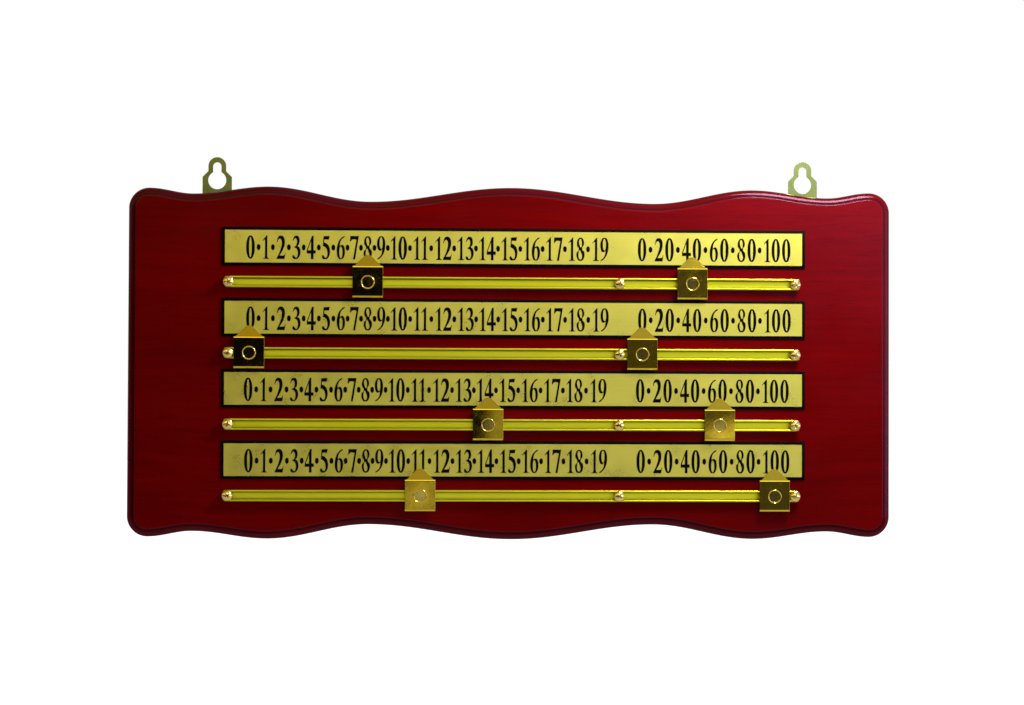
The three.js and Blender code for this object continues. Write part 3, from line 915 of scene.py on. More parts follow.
@dataclass
class Backboard:
    """The routed board: wavy long edges, a moulded front edge, and pockets for the hanger plates."""

    finishes: Finishes
    thickness: float = 15
    corner_radius: float = 16
    back_round: float = 0.8
    side_valley: Point2 = (50, 6.3)
    side_crest: Point2 = (109, 0.4)
    main_valley: Point2 = (188, 11.7)
    corner_dip: float = 2
    round_over: Point2 = (5, 4.6)
    ledge: float = 0.8
    step: float = 1.3
    field_round: float = 0.7
    outline_step: float = 2
    corner_steps: int = 16
    crease: float = 0.2
    pocket_gap: float = 0.3
    pocket_foot: float = 3.3
    node: str = "backboard"

    def build(self) -> None:
        """Builds and dresses the board."""
        board = cast("wood_board", Draft().add_rings(self._rings()), self.finishes.wood)
        carve(board, *(self._pocket(side) for side in SIDES))
        place(board, "board", "lacquered_wood", [self.node])

    def _dip(self, x: float) -> float:
        """How deep the long edge lies below its crest line at x.

        Args:
            x: A place along the board.

        Returns:
            The depth.
        """
        half = high_of(self.node).x
        turns = [(0.0, 0.0)]
        turns += [(half - inset, dip) for inset, dip in (self.main_valley, self.side_crest, self.side_valley)]
        turns.append((half - self.corner_radius, self.corner_dip))
        distance = abs(x)
        for (start_x, start), (end_x, end) in zip(turns, turns[1:]):
            if distance <= end_x:
                share = (distance - start_x) / (end_x - start_x)
                return start + (end - start) * (1 - math.cos(math.pi * share)) / 2
        return self.corner_dip

    def _outline(self) -> list[tuple[Vector, Vector]]:
        """Points of the outline, anticlockwise, each with its outward direction.

        Returns:
            The points with their directions.
        """
        high = high_of(self.node)
        reach = high.x - self.corner_radius
        corner_z = high.z - self.corner_dip - self.corner_radius
        steps = math.ceil(2 * reach / self.outline_step)
        upper = arc((reach, corner_z), self.corner_radius, 0, 90, self.corner_steps)
        for i in range(1, steps):
            x = reach - 2 * reach * i / steps
            upper.append((x, high.z - self._dip(x)))
        upper += arc((-reach, corner_z), self.corner_radius, 90, 180, self.corner_steps)
        side_steps = math.ceil(2 * corner_z / self.outline_step / 4)
        left = [(-high.x, corner_z * (1 - 2 * i / side_steps)) for i in range(1, side_steps)]
        half = [Vector(p) for p in upper + left]
        points = half + [-p for p in half]
        count = len(points)
        outward = []
        for i in range(count):
            along = (points[(i + 1) % count] - points[i - 1]).normalized()
            outward.append(Vector((along.y, -along.x)))
        return list(zip(points, outward))

    def _section(self) -> list[Point2]:
        """Section of the edge from the back to the front: inset and y.

        Returns:
            The points, each with its inset and y.
        """
        r, flat = self.back_round, 1.0
        face = -self.thickness
        ledge_y = face + self.step
        wide, deep = self.round_over
        riser = wide + self.ledge
        crease, soft = self.crease, 0.3 * self.crease
        f = self.field_round
        section = [(r + flat, 0.0)]
        section += [(r - r * math.sin(a), -r + r * math.cos(a)) for a in quarter(5)]
        section += [(wide * (1 - math.cos(a)), ledge_y + deep * (1 - math.sin(a))) for a in quarter(14)]
        section += [(riser - crease, ledge_y), (riser - soft, ledge_y - soft), (riser, ledge_y - crease)]
        section += [(riser + f * (1 - math.cos(a)), face + f * (1 - math.sin(a))) for a in quarter(6)]
        section.append((riser + f + flat, face))
        return section

    def _rings(self) -> list[list[Point3]]:
        """The outline repeated at each point of the section.

        Returns:
            The rings, from the back to the front.
        """
        outline = self._outline()
        return [
            [(p.x, y, p.y) for p in (point - outward * inset for point, outward in outline)]
            for inset, y in self._section()
        ]

    def _pocket(self, side: str) -> Thing:
        """Cutter of the pocket that one hanger plate lies in.

        Args:
            side: Which plate.

        Returns:
            The cutter.
        """
        low, high = low_of(f"hanger_{side}"), high_of(f"hanger_{side}")
        width = high.x - low.x + 2 * self.pocket_gap
        height = high.z - low.z + self.pocket_gap
        foot = self.pocket_foot
        x, z = width / 2, height / 2
        plan = arc((-x + foot, -z + foot), foot, 180, 270, 6) + arc((x - foot, -z + foot), foot, 270, 360, 6)
        plan += [(x, z), (-x, z)]
        draft = Draft().add_plan([plan], low.y, 1)
        at = Vector(((low.x + high.x) / 2, 0, (low.z + high.z - self.pocket_gap) / 2))
        return cast(f"pocket_{side}", draft, self.finishes.wood, at)


# ---------------- number strips

Knot = tuple[float, ...]

C = 1

# Outlines of the numerals in a box of 100 by 100. The line runs smoothly through a knot (x, z) and
# has a corner at a knot (x, z, C).
NUMERALS: dict[str, list[list[Knot]]] = {
    "0": [
        [(50, 100), (88, 84), (100, 50), (88, 16), (50, 0), (12, 16), (0, 50), (12, 84)],
        [(50, 93), (60, 82), (65, 50), (60, 18), (50, 7), (40, 18), (35, 50), (40, 82)],
    ],
    "1": [
        [(74, 100, C), (74, 12, C), (80, 5), (100, 3, C), (100, 0, C), (10, 0, C), (10, 3, C), (32, 5),
         (38, 12, C), (38, 76, C), (34, 81), (24, 81), (2, 74, C), (0, 78, C), (62, 100, C)],
    ],
    "2": [
        [(2, 72, C), (14, 92), (48, 100), (84, 90), (93, 72), (78, 46), (34, 15, C), (72, 15), (88, 18),
         (96, 27, C), (100, 27, C), (90, 0, C), (0, 0, C), (0, 4, C), (40, 38), (57, 68), (50, 82),
         (34, 86), (16, 80), (8, 70, C)],
    ],
    "3": [
        [(4, 78, C), (20, 94), (50, 100), (84, 88), (84, 68), (62, 56, C), (90, 46), (98, 28), (78, 7),
         (34, 0), (8, 4), (2, 11), (14, 17), (34, 9), (50, 6), (64, 16), (66, 30), (52, 44), (24, 49, C),
         (24, 52, C), (48, 60), (56, 76), (46, 87), (30, 88), (10, 77, C)],
    ],
    "4": [
        [(58, 100, C), (76, 100, C), (76, 38, C), (100, 38, C), (100, 24, C), (76, 24, C), (76, 0, C),
         (46, 0, C), (46, 24, C), (0, 24, C), (0, 37, C)],
        [(46, 38, C), (46, 76, C), (12, 38, C)],
    ],
    "5": [
        [(20, 98, C), (92, 100, C), (84, 84, C), (30, 84, C), (26, 72, C), (60, 66), (92, 48), (97, 30),
         (78, 7), (36, 0), (8, 4), (2, 12), (14, 18), (36, 9), (54, 8), (66, 20), (62, 38), (44, 50),
         (12, 56, C)],
    ],
    "6": [
        [(92, 100, C), (56, 92), (14, 66), (2, 36), (14, 10), (52, 0), (88, 12), (98, 34), (86, 56),
         (60, 62), (38, 57, C), (46, 76), (94, 96, C)],
        [(52, 54), (64, 46), (68, 30), (62, 10), (50, 5), (38, 12), (34, 34), (40, 52)],
    ],
    "7": [
        [(4, 100, C), (100, 100, C), (100, 96, C), (60, 0, C), (36, 0, C), (74, 84, C), (24, 84),
         (8, 76, C), (0, 76, C)],
    ],
    "8": [
        [(50, 100), (90, 84), (90, 70), (70, 54), (96, 36), (96, 18), (50, 0), (6, 16), (4, 32),
         (30, 50), (10, 66), (10, 82)],
        [(50, 94), (64, 84), (66, 72), (58, 58), (38, 72), (34, 84)],
        [(40, 46), (58, 34), (68, 18), (50, 6), (30, 16), (28, 32)],
    ],
}
NUMERALS["9"] = [[(100 - x, 100 - z, *corner) for x, z, *corner in loop] for loop in NUMERALS["6"]]


def trace(knots: Sequence[Knot], steps: int = 5, smooth_reach: float = 2.56) -> Loop:
    """Line through an outline's knots.

    Args:
        knots: The knots, each with C where the line has a corner.
        steps: Pieces of the line between two knots.
        smooth_reach: What part of the way to the next knot a smooth knot's handle reaches.

    Returns:
        Points of the closed line.
    """
    places = [Vector((x, z, 0)) for x, z, *_ in knots]
    handles = []
    for i, (here, (_, _, *corner)) in enumerate(zip(places, knots)):
        before, after = places[i - 1] - here, places[(i + 1) % len(places)] - here
        if corner:
            handles.append((here + before / 3, here + after / 3))
        else:
            along = (after.normalized() - before.normalized()).normalized()
            back, on = along * before.length / smooth_reach, along * after.length / smooth_reach
            handles.append((here - back, here + on))
    loop: Loop = []
    for i, here in enumerate(places):
        j = (i + 1) % len(places)
        curve = interpolate_bezier(here, handles[i][1], handles[j][0], places[j], steps + 1)
        loop += [(p.x, p.y) for p in curve[:-1]]
    return loop


@dataclass
class Scale:
    """Where the numbers and the dots between them stand, from the left end of the strip."""

    stops: tuple[tuple[int, float], ...] = (
        (0, 22.2), (3, 58.0), (6, 92.6), (9, 124.1), (10, 137.5), (13, 190.0), (14, 206.9), (18, 277.1),
        (19, 296.0),
    )
    twenties_zero: float = 329.2
    twenty: int = 20
    digit_room: float = 8.4
    one_room: float = 4.5
    dot_room: float = 4.93

    def units(self) -> list[tuple[str, float]]:
        """The numbers 0 to 19 with their middles, evenly spaced from one stop to the next.

        Returns:
            Each number with its distance from the start of the printing.
        """
        places = []
        for (start, left), (end, right) in zip(self.stops, self.stops[1:]):
            for number in range(start, end):
                places.append((str(number), left + (right - left) * (number - start) / (end - start)))
        last, inset = self.stops[-1]
        return places + [(str(last), inset)]

    def twenties(self) -> list[tuple[str, float]]:
        """The numbers 0 to 100 in twenties with their middles.

        Returns:
            Each number with its distance from the start of the printing.
        """
        places = [("0", self.twenties_zero)]
        for number in range(self.twenty, 5 * self.twenty + 1, self.twenty):
            before, x = places[-1]
            text = str(number)
            places.append((text, x + self.half_room(before) + self.dot_room + self.half_room(text)))
        return places

    def half_room(self, text: str) -> float:
        """Half the width that a number takes up."""
        return sum(self.one_room if digit == "1" else self.digit_room for digit in text) / 2


@dataclass
class NumberStrip:
    """One number strip: its black plate, gold face, numerals and dots."""

    row: int
    finishes: Finishes
    repeater: Repeater
    scale: Scale = field(default_factory=Scale)
    border: float = 2.4
    corner: float = 0.5
    gold_corner: float = 0.3
    edge_round: float = 0.2
    foil: float = 0.05
    ink: float = 0.04
    numeral_height: float = 18.4
    numeral_drop: float = 0.7
    print_shifts: tuple[float, ...] = (0, 0.35, -1.2, -0.6)
    widths: dict[str, float] = field(default_factory=lambda: {
        "0": 6.7, "1": 5.1, "2": 6.9, "3": 6.6, "4": 7.1, "5": 6.6, "6": 6.8, "7": 6.8, "8": 6.8, "9": 6.8,
    })
    pair_pitch: float = 8.3
    one_pitch: float = 6.9
    ones_pitch: float = 6
    dot: Point2 = (3, 4.75)

    def build(self) -> None:
        """Builds and dresses the strip."""
        self.node = f"number_strip_{self.row}"
        self.low, self.high = low_of(self.node), high_of(self.node)
        self.middle = middle_of(self.node)
        self.zero_x = self.low.x + self.print_shifts[self.row - 1]
        self.print_z = self.middle.z - self.numeral_drop
        self._plate()
        self._face()
        self._numerals()
        self._dots()

    def _slab(self, inset: float, corner: float, front: float, back: float) -> Draft:
        """A flat plate inside the strip's outline.

        Args:
            inset: How far its edge lies inside the outline.
            corner: Radius of its corners.
            front: Its front, behind the front of the strip.
            back: Its back, behind the front of the strip.

        Returns:
            The draft.
        """
        size = self.high - self.low
        plan = rounded_rectangle(size.x - 2 * inset, size.z - 2 * inset, corner)
        return Draft().add_plan([plan], self.low.y + front, self.low.y + back)

    def _plate(self) -> None:
        """The black plate, whose rim shows round the gold."""
        draft = self._slab(0, self.corner, self.foil + self.ink, self.high.y - self.low.y)
        at = Vector((self.middle.x, 0, self.middle.z))
        plate = cast(f"strip_plate_{self.row}", draft, self.finishes.ink, at, self.edge_round)
        place(plate, "board", None, [self.node])

    def _face(self) -> None:
        """The gold face inside the black rim."""
        draft = self._slab(self.border, self.gold_corner, self.ink, 4 * self.foil)
        at = Vector((self.middle.x, 0, self.middle.z))
        place(cast(f"gold_face_{self.row}", draft, self.finishes.gold, at), "board", "gold_strip")

    def _ink_span(self) -> Point2:
        """Front and back of the printing, which lies on the gold."""
        return self.low.y, self.low.y + 1.5 * self.ink

    def _pitch(self, first: str, second: str) -> float:
        """Distance between the middles of two digits of a number."""
        ones = (first == "1") + (second == "1")
        return (self.pair_pitch, self.one_pitch, self.ones_pitch)[ones]

    def _numerals(self) -> None:
        """The printed numbers."""
        draft = Draft()
        for text, inset in self.scale.units() + self.scale.twenties():
            offsets = [0.0]
            for first, second in zip(text, text[1:]):
                offsets.append(offsets[-1] + self._pitch(first, second))
            start = self.zero_x + inset - offsets[-1] / 2
            for digit, offset in zip(text, offsets):
                self._digit(draft, digit, start + offset)
        place(cast(f"numerals_{self.row}", draft, self.finishes.ink), "board", None)

    def _digit(self, draft: Draft, digit: str, x: float) -> None:
        """Adds one numeral, about its middle.

        Args:
            draft: What it is added to.
            digit: The numeral.
            x: Its middle.
        """
        wide, high = self.widths[digit] / 100, self.numeral_height / 100
        loops = [
            [(x + (u - 50) * wide, self.print_z + (v - 50) * high) for u, v in trace(knots)]
            for knots in NUMERALS[digit]
        ]
        draft.add_plan(loops, *self._ink_span())

    def _dots(self) -> None:
        """The dots between the numbers."""
        plan = [(x * self.dot[0] / 2, z * self.dot[1] / 2) for x, z in circle((0, 0), 1, 20)]
        front, back = self._ink_span()
        thick = back - front
        shape = cast("dot", Draft().add_plan([plan], -thick / 2, thick / 2), self.finishes.ink)
        points = []
        for run in (self.scale.units(), self.scale.twenties()):
            for (first, x1), (second, x2) in zip(run, run[1:]):
                edges = x1 + self._half_width(first) + x2 - self._half_width(second)
                points.append((self.zero_x + edges / 2, (front + back) / 2, self.print_z))
        place(self.repeater.spread(f"dots_{self.row}", shape, points, self.finishes.ink), "board", None)

    def _half_width(self, text: str) -> float:
        """Half the printed width of a number."""
        pitches = sum(self._pitch(a, b) for a, b in zip(text, text[1:]))
        return (pitches + (self.widths[text[0]] + self.widths[text[-1]]) / 2) / 2


# ---------------- rails and screws

@dataclass
class Rail:
    """One brass channel with inward lips and round ends."""

    row: int
    finishes: Finishes
    wall: float = 0.7
    lip: float = 1.5
    bend: float = 0.9
    bend_steps: int = 6
    floor_steps: int = 12
    # Painted shade of the lips on the channel floor: where it starts and where it is full across the channel,
    # and how dark it gets.
    dull_from: Point2 = (0.9, 3)
    smooth_angle: float = 40
    dullest: float = 0.85
    handled: float = 0.3

    def build(self) -> None:
        """Builds and dresses the rail."""
        node = f"rail_{self.row}"
        low, high = low_of(node), high_of(node)
        self.half = (high.z - low.z) / 2
        self.depth = high.y - low.y
        reach = (high.x - low.x) / 2 - self.half
        section = self._section()
        ends = [
            (side * (reach + math.sqrt(max(self.half**2 - z * z, 0))), y, z)
            for side in (-1, 1) for y, z in section
        ]
        size = len(section)
        caps = tessellate_polygon([[Vector((y, z, 0)) for y, z in section]])
        draft = Draft().add(ends, two_caps(caps, size) + bands(2, size))
        at = Vector(((low.x + high.x) / 2, high.y, (low.z + high.z) / 2))
        rail = cast(f"brass_rail_{self.row}", draft, self.finishes.rail, at, smooth_angle=self.smooth_angle)
        # Stores the painted shade on the rail's points.
        share = rail.data.attributes.new("lip_shade_and_tone", "FLOAT", "POINT")
        share.data.foreach_set("value", [self._dullness(v.co / MM - at) for v in rail.data.vertices])
        place(rail, "board", "rail_brass", [node])

    def _dullness(self, place: Vector) -> float:
        """How dark the brass is painted, from 0 to 1: inside the channel, painted shade grows towards the
        side walls under the lips; elsewhere it has one even value.

        Args:
            place: A point, from the middle of the rail's back.

        Returns:
            The darkening.
        """
        skin = 0.9 * self.wall
        outside = abs(place.z) > self.half - skin or place.y < -self.depth + skin
        if outside or place.y > -skin:
            return self.handled
        start, end = self.dull_from
        share = min(max((abs(place.z) - start) / (end - start), 0), 1)
        return self.dullest * share * share

    def _section(self) -> Loop:
        """Closed section in the (y, z) plane, with y = 0 on the board.

        Returns:
            The points.
        """
        t = self.wall / 2
        radius, floor = self.bend - t, self.half - self.bend
        front, back = -self.depth + self.bend, -self.bend
        lip_y, lip_z = -self.depth + t, self.half - self.lip + t
        path = [((lip_y, -lip_z), 180.0), ((lip_y, -floor), 180.0)]
        path += bend((front, -floor), radius, 180, 270, self.bend_steps)[1:]
        path += bend((back, -floor), radius, 270, 360, self.bend_steps)
        path += [((-t, floor * (2 * i / self.floor_steps - 1)), 0.0) for i in range(1, self.floor_steps)]
        path += bend((back, floor), radius, 0, 90, self.bend_steps)
        path += bend((front, floor), radius, 90, 180, self.bend_steps)
        path.append(((lip_y, lip_z), 180.0))
        outer, inner = (
            [(y + r * math.cos(math.radians(a)), z + r * math.sin(math.radians(a))) for (y, z), a in path]
            for r in (t, -t)
        )
        upper_end = arc((lip_y, lip_z), t, 180, 360, self.bend_steps)[1:-1]
        lower_end = [(y, -z) for y, z in reversed(upper_end)]
        return outer + upper_end + inner[::-1] + lower_end


@dataclass(frozen=True)
class CrossRecess:
    """A tapered cross-shaped recess, as a cutter open towards -Y."""

    arm: float
    width: float
    depth: float
    taper: float = 0.75

    def cutter(self, front_y: float, finish: Material) -> Thing:
        """The cutter, which starts in front of front_y and ends at the recess's depth.

        Args:
            front_y: Front of the head.
            finish: Material of the cut faces.

        Returns:
            The cutter.
        """
        past = 1.0
        wide = self._plan(1 + (1 - self.taper) * past / self.depth)
        deep = self._plan(self.taper)
        draft = Draft().add_plan([wide], front_y - past, front_y + self.depth, [deep])
        return cast("recess", draft, finish)

    def _plan(self, size: float) -> Loop:
        """The cross at a size of its full one.

        Args:
            size: The size.

        Returns:
            The points.
        """
        w, a = self.width / 2 * size, self.arm * size
        quarter = [(a, -w), (a, w), (w, w)]
        points = []
        for turn in range(4):
            c, s = round(math.cos(turn * math.pi / 2)), round(math.sin(turn * math.pi / 2))
            points += [(x * c - z * s, x * s + z * c) for x, z in quarter]
        return points


@dataclass
class Screws:
    """Screws of one kind, all copies of one turned shape with a cross recess."""

    finishes: Finishes
    repeater: Repeater
    shank: float = 1.5
    steps: int = 40
    seed: int = 4
    largest_turn: float = 90

    def turned(self, profile: Sequence[Point2]) -> Thing:
        """The shape, from its profile of (radius, y) points."""
        return cast("screw", Draft().add_lathe(profile, self.steps), self.finishes.screw)

    def set_in(self, name: str, shape: Thing, points: Sequence[Point3], nodes: list[str]) -> None:
        """Sets the shape on points, each turned its own way, and dresses the screws.

        Args:
            name: Name of the piece.
            shape: The shape.
            points: Where its origin goes.
            nodes: The CAD nodes that the screws stand for.
        """
        finish, turn = self.finishes.screw, self.largest_turn
        screws = self.repeater.spread(name, shape, points, finish, turn, self.seed)
        place(screws, "board", "screw_brass", nodes)


@dataclass
class RailScrews(Screws):
    """The twelve round-head screws that hold the rails."""

    rim: float = 0.4
    edge: float = 0.15
    head_height: float = 2.4
    recess: CrossRecess = CrossRecess(2.3, 1, 1.3)

    def build(self) -> None:
        """Builds and dresses the screws."""
        nodes = [f"rail_screw_{row}_{side}" for row in ROWS for side in ("left", "middle", "right")]
        low, high = low_of(nodes[0]), high_of(nodes[0])
        radius = (high.x - low.x) / 2
        length = high.y - low.y - self.head_height
        dome = self.head_height - self.rim
        profile = [(radius * math.sin(a), -self.rim - dome * math.cos(a)) for a in quarter(9)]
        profile += [(radius, -self.edge), (radius - self.edge, 0), (self.shank, 0)]
        profile += [(self.shank, length - 2 * self.shank), (0, length)]
        shape = self.turned(profile)
        carve(shape, self.recess.cutter(-self.head_height, self.finishes.screw))
        points = [
            (middle_of(node).x, low_of(node).y + self.head_height, middle_of(node).z) for node in nodes
        ]
        self.set_in("rail_screws", shape, points, nodes)


# ---------------- sliding markers

@dataclass
class Marker:
    """One sliding marker: the folded plate with its point, the rivet and the hidden shoe."""

    kind: str
    row: int
    finishes: Finishes
    thickness: float = 1
    bend: float = 0.7
    top_bend: float = 2.2
    fold_depth: float = 3.4
    half_height: float = 12.1
    fall: float = 20
    shoulder: float = 1.3
    tip_width: float = 4
    tip_round: float = 0.9
    tip_trims: tuple[Point2, ...] = ((1.6, 0), (0.8, 0), (0.35, 0.25), (0.1, 0.6), (0, 1))
    margin: float = 0.1
    bend_steps: int = 8
    edge_round: float = 0.12
    rivet_tail: Point2 = (2.8, 0.8)
    rivet_steps: int = 64
    rivet_smooth: float = 50
    rivet_profile: tuple[Point2, ...] = (
        (0, -0.35), (4.4, -0.35), (4.6, -0.35), (4.68, -0.4), (4.74, -0.52), (4.82, -0.63), (4.92, -0.69),
        (5.03, -0.7), (5.14, -0.66), (5.26, -0.56), (5.34, -0.42), (5.39, -0.26), (5.4, -0.1), (5.4, 0),
        (2, 0),
    )

    def build(self) -> None:
        """Builds and dresses the marker."""
        self.body = f"{self.kind}_marker_{self.row}"
        self.plate_node = f"{self.kind}_pointer_{self.row}"
        self.low, self.high = low_of(self.plate_node), high_of(self.plate_node)
        self.rail_z = middle_of(f"rail_{self.row}").z
        self._plate()
        self._rivet()
        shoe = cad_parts[f"{self.kind}_shoe_{self.row}"]
        shoe.data.materials.clear()
        shoe.data.materials.append(self.finishes.pointer)

    def _path(self) -> list[tuple[Vector, Vector, float]]:
        """Middle line of the plate from the lower fold to the tip.

        Returns:
            For each point its place in the (y, z) plane, its forward direction and the plate's half
            width there.
        """
        t, r = self.thickness / 2, self.bend + self.thickness / 2
        half = (self.high.x - self.low.x) / 2
        outer, top = self.bend + self.thickness, self.top_bend + self.thickness
        fold_z = -self.half_height + outer
        bend_z = self.half_height - top * math.tan(math.radians(self.fall) / 2)
        line: list[tuple[Point2, float]] = [((self.fold_depth, -self.half_height + t), -90.0)]
        line += bend((outer, fold_z), r, -90, -180, self.bend_steps)
        line += [((t, fold_z + self.margin), -180.0), ((t, bend_z - self.margin), -180.0)]
        line += bend((top, bend_z), self.top_bend + t, -180, -180 - self.fall, self.bend_steps)
        path = [(Vector(p), a, half) for p, a in line]
        last, turn, _ = path[-1]
        up = heading(90 - self.fall)
        run = (self.high.z - self.rail_z - (last + heading(turn) * t).y) / up.y
        foot, tip = half - self.shoulder, self.tip_width / 2
        path.append((last + up * 0.6 * self.margin, turn, half))
        path.append((last + up * self.margin, turn, foot))
        slope = (foot - tip) / run
        for back, trim in self.tip_trims:
            path.append((last + up * (run - back), turn, tip + slope * back - trim * self.tip_round))
        return [(p, heading(a), width) for p, a, width in path]

    def _plate(self) -> None:
        """The folded plate."""
        t = self.thickness / 2
        rings = []
        for p, facing, half in self._path():
            front, back = p + facing * t, p - facing * t
            rings.append([
                (-half, front.x, front.y), (half, front.x, front.y),
                (half, back.x, back.y), (-half, back.x, back.y),
            ])
        at = Vector(((self.low.x + self.high.x) / 2, self.low.y, self.rail_z))
        plate = cast(
            f"{self.kind}_plate_{self.row}", Draft().add_rings(rings), self.finishes.pointer, at,
            self.edge_round, CRISP_ANGLE, False,
        )
        place(plate, self.body, "pointer_brass", [self.plate_node])

    def _rivet(self) -> None:
        """The rivet, whose head has a rolled rim round a flat middle."""
        node = f"{self.kind}_rivet_{self.row}"
        low, high = low_of(node), high_of(node)
        shank = high.y - self.low.y
        tail, flare = self.rivet_tail
        neck = self.rivet_profile[-1][0]
        profile = [*self.rivet_profile, (neck, shank - flare), (tail, shank), (0, shank)]
        draft = Draft().add_lathe(profile, self.rivet_steps)
        at = Vector(((low.x + high.x) / 2, self.low.y, self.rail_z))
        name, finish = f"{self.kind}_eyelet_{self.row}", self.finishes.rivet
        rivet = cast(name, draft, finish, at, smooth_angle=self.rivet_smooth)
        place(rivet, self.body, "pointer_brass", [node])


# ---------------- hanging hardware

@dataclass
class Hanger:
    """One keyhole plate, let into the back of the board."""

    side: str
    finishes: Finishes
    neck: float = 13.9
    shoulder_drop: float = 15.6
    hole_radius: float = 7.1
    hole_drop: float = 18.2
    slot: float = 6.6
    slot_top: float = 4
    foot: float = 3
    screw_drops: Point2 = (34, 48)
    sink_radius: float = 3.5
    dome_steps: int = 24
    foot_steps: int = 6
    slot_steps: int = 12
    hole_steps: int = 40
    edge_round: float = 0.15

    def build(self) -> None:
        """Builds and dresses the plate."""
        node = f"hanger_{self.side}"
        low, high = low_of(node), high_of(node)
        half, length = (high.x - low.x) / 2, high.z - low.z
        thick = high.y - low.y
        shapes = [self._outline(half, length), self._keyhole()]
        near, far = (
            shapes + [circle((0, -drop), radius, self.dome_steps) for drop in self.screw_drops]
            for radius in (self.sink_radius - thick, self.sink_radius)
        )
        draft = Draft().add_plan(near, -thick, 0, far)
        at = Vector(((low.x + high.x) / 2, high.y, high.z))
        plate = cast(
            f"keyhole_plate_{self.side}", draft, self.finishes.hanger, at, self.edge_round, CRISP_ANGLE,
        )
        place(plate, "board", "hanger_brass", [node])

    def _outline(self, half: float, length: float) -> Loop:
        """Outline of the plate, about the top of its dome.

        Args:
            half: Half its width.
            length: Its length.

        Returns:
            The points.
        """
        neck = self.neck / 2
        shoulder = -self.shoulder_drop
        neck_z = shoulder + (half - neck)
        low = -length + self.foot
        plan = [(neck, neck_z)] + arc((0, -neck), neck, 0, 180, self.dome_steps)
        plan += [(-neck, neck_z), (-half, shoulder)]
        plan += arc((-half + self.foot, low), self.foot, 180, 270, self.foot_steps)
        plan += arc((half - self.foot, low), self.foot, 270, 360, self.foot_steps)
        plan.append((half, shoulder))
        return plan

    def _keyhole(self) -> Loop:
        """The large round hole with the slot above it.

        Returns:
            The points.
        """
        slot = self.slot / 2
        angle = math.degrees(math.acos(slot / self.hole_radius))
        plan = arc((0, -self.slot_top - slot), slot, 0, 180, self.slot_steps)
        plan += arc((0, -self.hole_drop), self.hole_radius, 180 - angle, 360 + angle, self.hole_steps)
        return plan


@dataclass
class HangerScrews(Screws):
    """The four countersunk screws of the keyhole plates."""

    steps: int = 32
    seed: int = 9
    rim: float = 0.1
    recess: CrossRecess = CrossRecess(1.7, 0.8, 1.1)

    def build(self) -> None:
        """Builds and dresses the screws."""
        nodes = [f"hanger_screw_{side}_{level}" for side in SIDES for level in ("upper", "lower")]
        low, high = low_of(nodes[0]), high_of(nodes[0])
        radius, length = (high.x - low.x) / 2, high.y - low.y
        shape = self.turned([
            (0, 0), (radius - self.rim, 0), (radius, -self.rim), (self.shank, self.shank - radius),
            (self.shank, 2 * self.shank - length), (0, -length),
        ])
        cutter = self.recess.cutter(0, self.finishes.screw)
        cutter.data.transform(Matrix.Rotation(math.pi, 4, "Z"))
        carve(shape, cutter)
        points = [(middle_of(node).x, high_of(node).y, middle_of(node).z) for node in nodes]
        self.set_in("hanger_screws", shape, points, nodes)


# ---------------- studio

@dataclass(frozen=True)
class Lamp:
    """A soft rectangular lamp, in metres and watts, turned about its own axis by degrees."""

    name: str
    at: Point3
    aim: Point3
    size: Point2
    power: float
    turn: float = 0

    def light(self) -> None:
        """Adds the lamp."""
        data = bpy.data.lights.new(self.name, "AREA")
        data.shape = "RECTANGLE"
        data.size, data.size_y = self.size
        data.energy = self.power
        lamp = show(self.name, data)
        lamp.location = self.at
        lamp.visible_camera = False
        facing = (Vector(self.aim) - Vector(self.at)).to_track_quat("-Z", "Y")
        lamp.rotation_euler = (facing @ Quaternion((0, 0, 1), math.radians(self.turn))).to_euler()


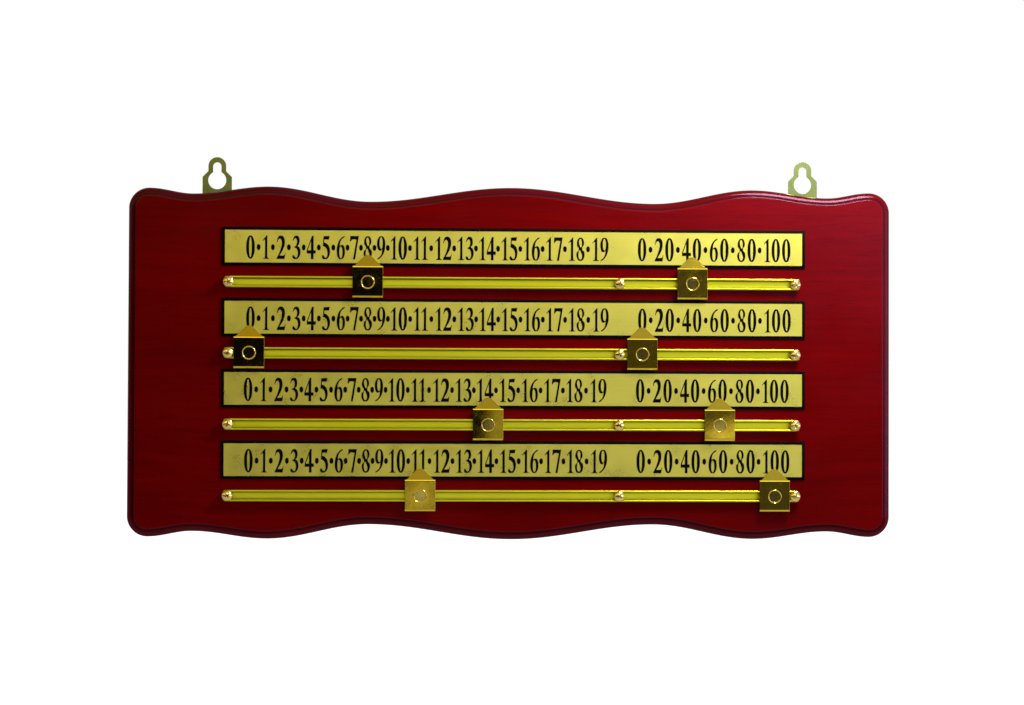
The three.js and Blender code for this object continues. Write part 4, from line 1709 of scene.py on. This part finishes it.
@dataclass
class Studio:
    """Camera, soft lights, pale floor and white surround."""

    camera_at: Point3 = (-0.0656, -1.5769, -0.0188)
    yaw: float = 2.412
    pitch: float = 0.999
    roll: float = 0.224
    lens: float = 70
    floor_z: float = -0.3
    floor_front: float = 1.2
    floor_reach: float = 6
    floor_bounce: float = 0.2
    warm: Colour = (1, 0.85, 0.3)
    cool: Colour = (0.88, 0.96, 1.4)
    behind: Colour = (0.6, 0.6, 0.6)
    lean: float = 0.85
    bank: tuple[Point2, ...] = ((0.572, 0), (0.584, 1), (0.81, 1), (0.84, 0.27), (1, 0.25))
    lamps: tuple[Lamp, ...] = (
        Lamp("key", (0.29, -0.25, 0.36), (0.1, 0, 0), (0.16, 0.16), 4.2),
        Lamp("low_card", (-0.075, -1, -0.158), (-0.075, 0, -0.158), (0.05, 0.05), 0.0038),
        Lamp("middle_card", (0.038, -1, -0.0665), (0.038, 0, -0.0665), (0.05, 0.07), 0.0038, -10),
        Lamp("side_card", (0.316, -1, -0.086), (0.316, 0, -0.086), (0.05, 0.04), 0.0046, 21),
    )

    def build(self) -> None:
        """Sets up the studio."""
        self._camera()
        self._world()
        self._floor()
        for lamp in self.lamps:
            lamp.light()
        bpy.context.scene.view_settings.view_transform = "Standard"

    def _camera(self) -> None:
        """The camera."""
        yaw, pitch, roll = (math.radians(a) for a in (self.yaw, self.pitch, self.roll))
        ahead = Vector((math.sin(yaw) * math.cos(pitch), math.cos(yaw) * math.cos(pitch), math.sin(pitch)))
        right = Vector((math.cos(yaw), -math.sin(yaw), 0))
        up = right.cross(ahead)
        turned_right = right * math.cos(roll) + up * math.sin(roll)
        turned_up = up * math.cos(roll) - right * math.sin(roll)
        data = bpy.data.cameras.new("camera")
        data.lens = self.lens
        data.sensor_width = 36
        camera = show("camera", data)
        turn = Matrix((turned_right, turned_up, -ahead)).transposed().to_4x4()
        camera.matrix_world = Matrix.Translation(self.camera_at) @ turn
        bpy.context.scene.camera = camera

    def _world(self) -> None:
        """White to the eye; for the light, dark at eye level in front and bright above."""
        world = bpy.data.worlds.new("surround")
        world.use_nodes = True
        bpy.context.scene.world = world
        bench = Bench(world.node_tree)
        background = world.node_tree.nodes["Background"]
        direction = bench.add("ShaderNodeTexCoord").outputs["Generated"]
        parts = bench.add("ShaderNodeSeparateXYZ", {0: direction}).outputs
        ahead = bench.math("MAXIMUM", bench.math("MULTIPLY", parts[1], -1), 0.01)
        side = bench.math("MULTIPLY_ADD", bench.math("DIVIDE", parts[0], ahead), 0.5, 0.5, clamp=True)
        past_middle = bench.math("MAXIMUM", bench.math("SUBTRACT", side, 0.5), 0)
        tilt = bench.math("MULTIPLY", past_middle, self.lean)
        rise = bench.math("ADD", bench.math("DIVIDE", parts[2], ahead), tilt)
        rise = bench.math("MULTIPLY_ADD", rise, 0.5, 0.5, clamp=True)
        right = bench.ramp(side, [(0.525, 0), (0.55, 1)])
        bank = bench.math("MULTIPLY", bench.ramp(rise, self.bank), bench.math("MULTIPLY_ADD", side, 1.2, 0.9))
        glow = bench.math("ADD", bank, bench.math("MULTIPLY_ADD", right, 0.06, 0.003))
        tint = bench.mix(bench.ramp(side, [(0.42, 0), (0.62, 1)]), self.warm, self.cool)
        glow = bench.mix(1.0, glow, tint, kind="MULTIPLY")
        front = bench.math("MULTIPLY_ADD", parts[1], -8, 0.2, clamp=True)
        light = bench.mix(front, self.behind, glow)
        seen = bench.add("ShaderNodeLightPath").outputs["Is Camera Ray"]
        bench.tree.links.new(bench.mix(seen, light, (1, 1, 1)), background.inputs["Color"])

    def _floor(self) -> None:
        """The pale floor."""
        paint = Paint("pale_floor", {"Base Color": (0.3, 0.3, 0.3, 1), "Roughness": 0.9})
        bench = paint.bench
        seen = bench.add("ShaderNodeLightPath").outputs["Is Camera Ray"]
        paint.shader.inputs["Emission Color"].default_value = (1, 1, 1, 1)
        strength = bench.math("MULTIPLY_ADD", seen, 1 - self.floor_bounce, self.floor_bounce)
        bench.tree.links.new(strength, paint.shader.inputs["Emission Strength"])
        mesh = bpy.data.meshes.new("floor")
        near, far, z = -self.floor_front, self.floor_reach, self.floor_z
        corners = [(-far, near, z), (far, near, z), (far, far, z), (-far, far, z)]
        mesh.from_pydata(corners, [], [(0, 1, 2, 3)])
        mesh.materials.append(paint.material)
        show("floor", mesh)


# ---------------- the whole board

def main() -> None:
    """Builds the studio and every piece of the board."""
    logging.basicConfig(level=logging.INFO, format="%(message)s")
    Studio().build()
    finishes = Finishes()
    repeater = Repeater()
    Backboard(finishes).build()
    for row in ROWS:
        NumberStrip(row, finishes, repeater).build()
        Rail(row, finishes).build()
        for kind in ("units", "twenties"):
            Marker(kind, row, finishes).build()
    RailScrews(finishes, repeater).build()
    for side in SIDES:
        Hanger(side, finishes).build()
    HangerScrews(finishes, repeater).build()


if __name__ == "__main__":
    main()
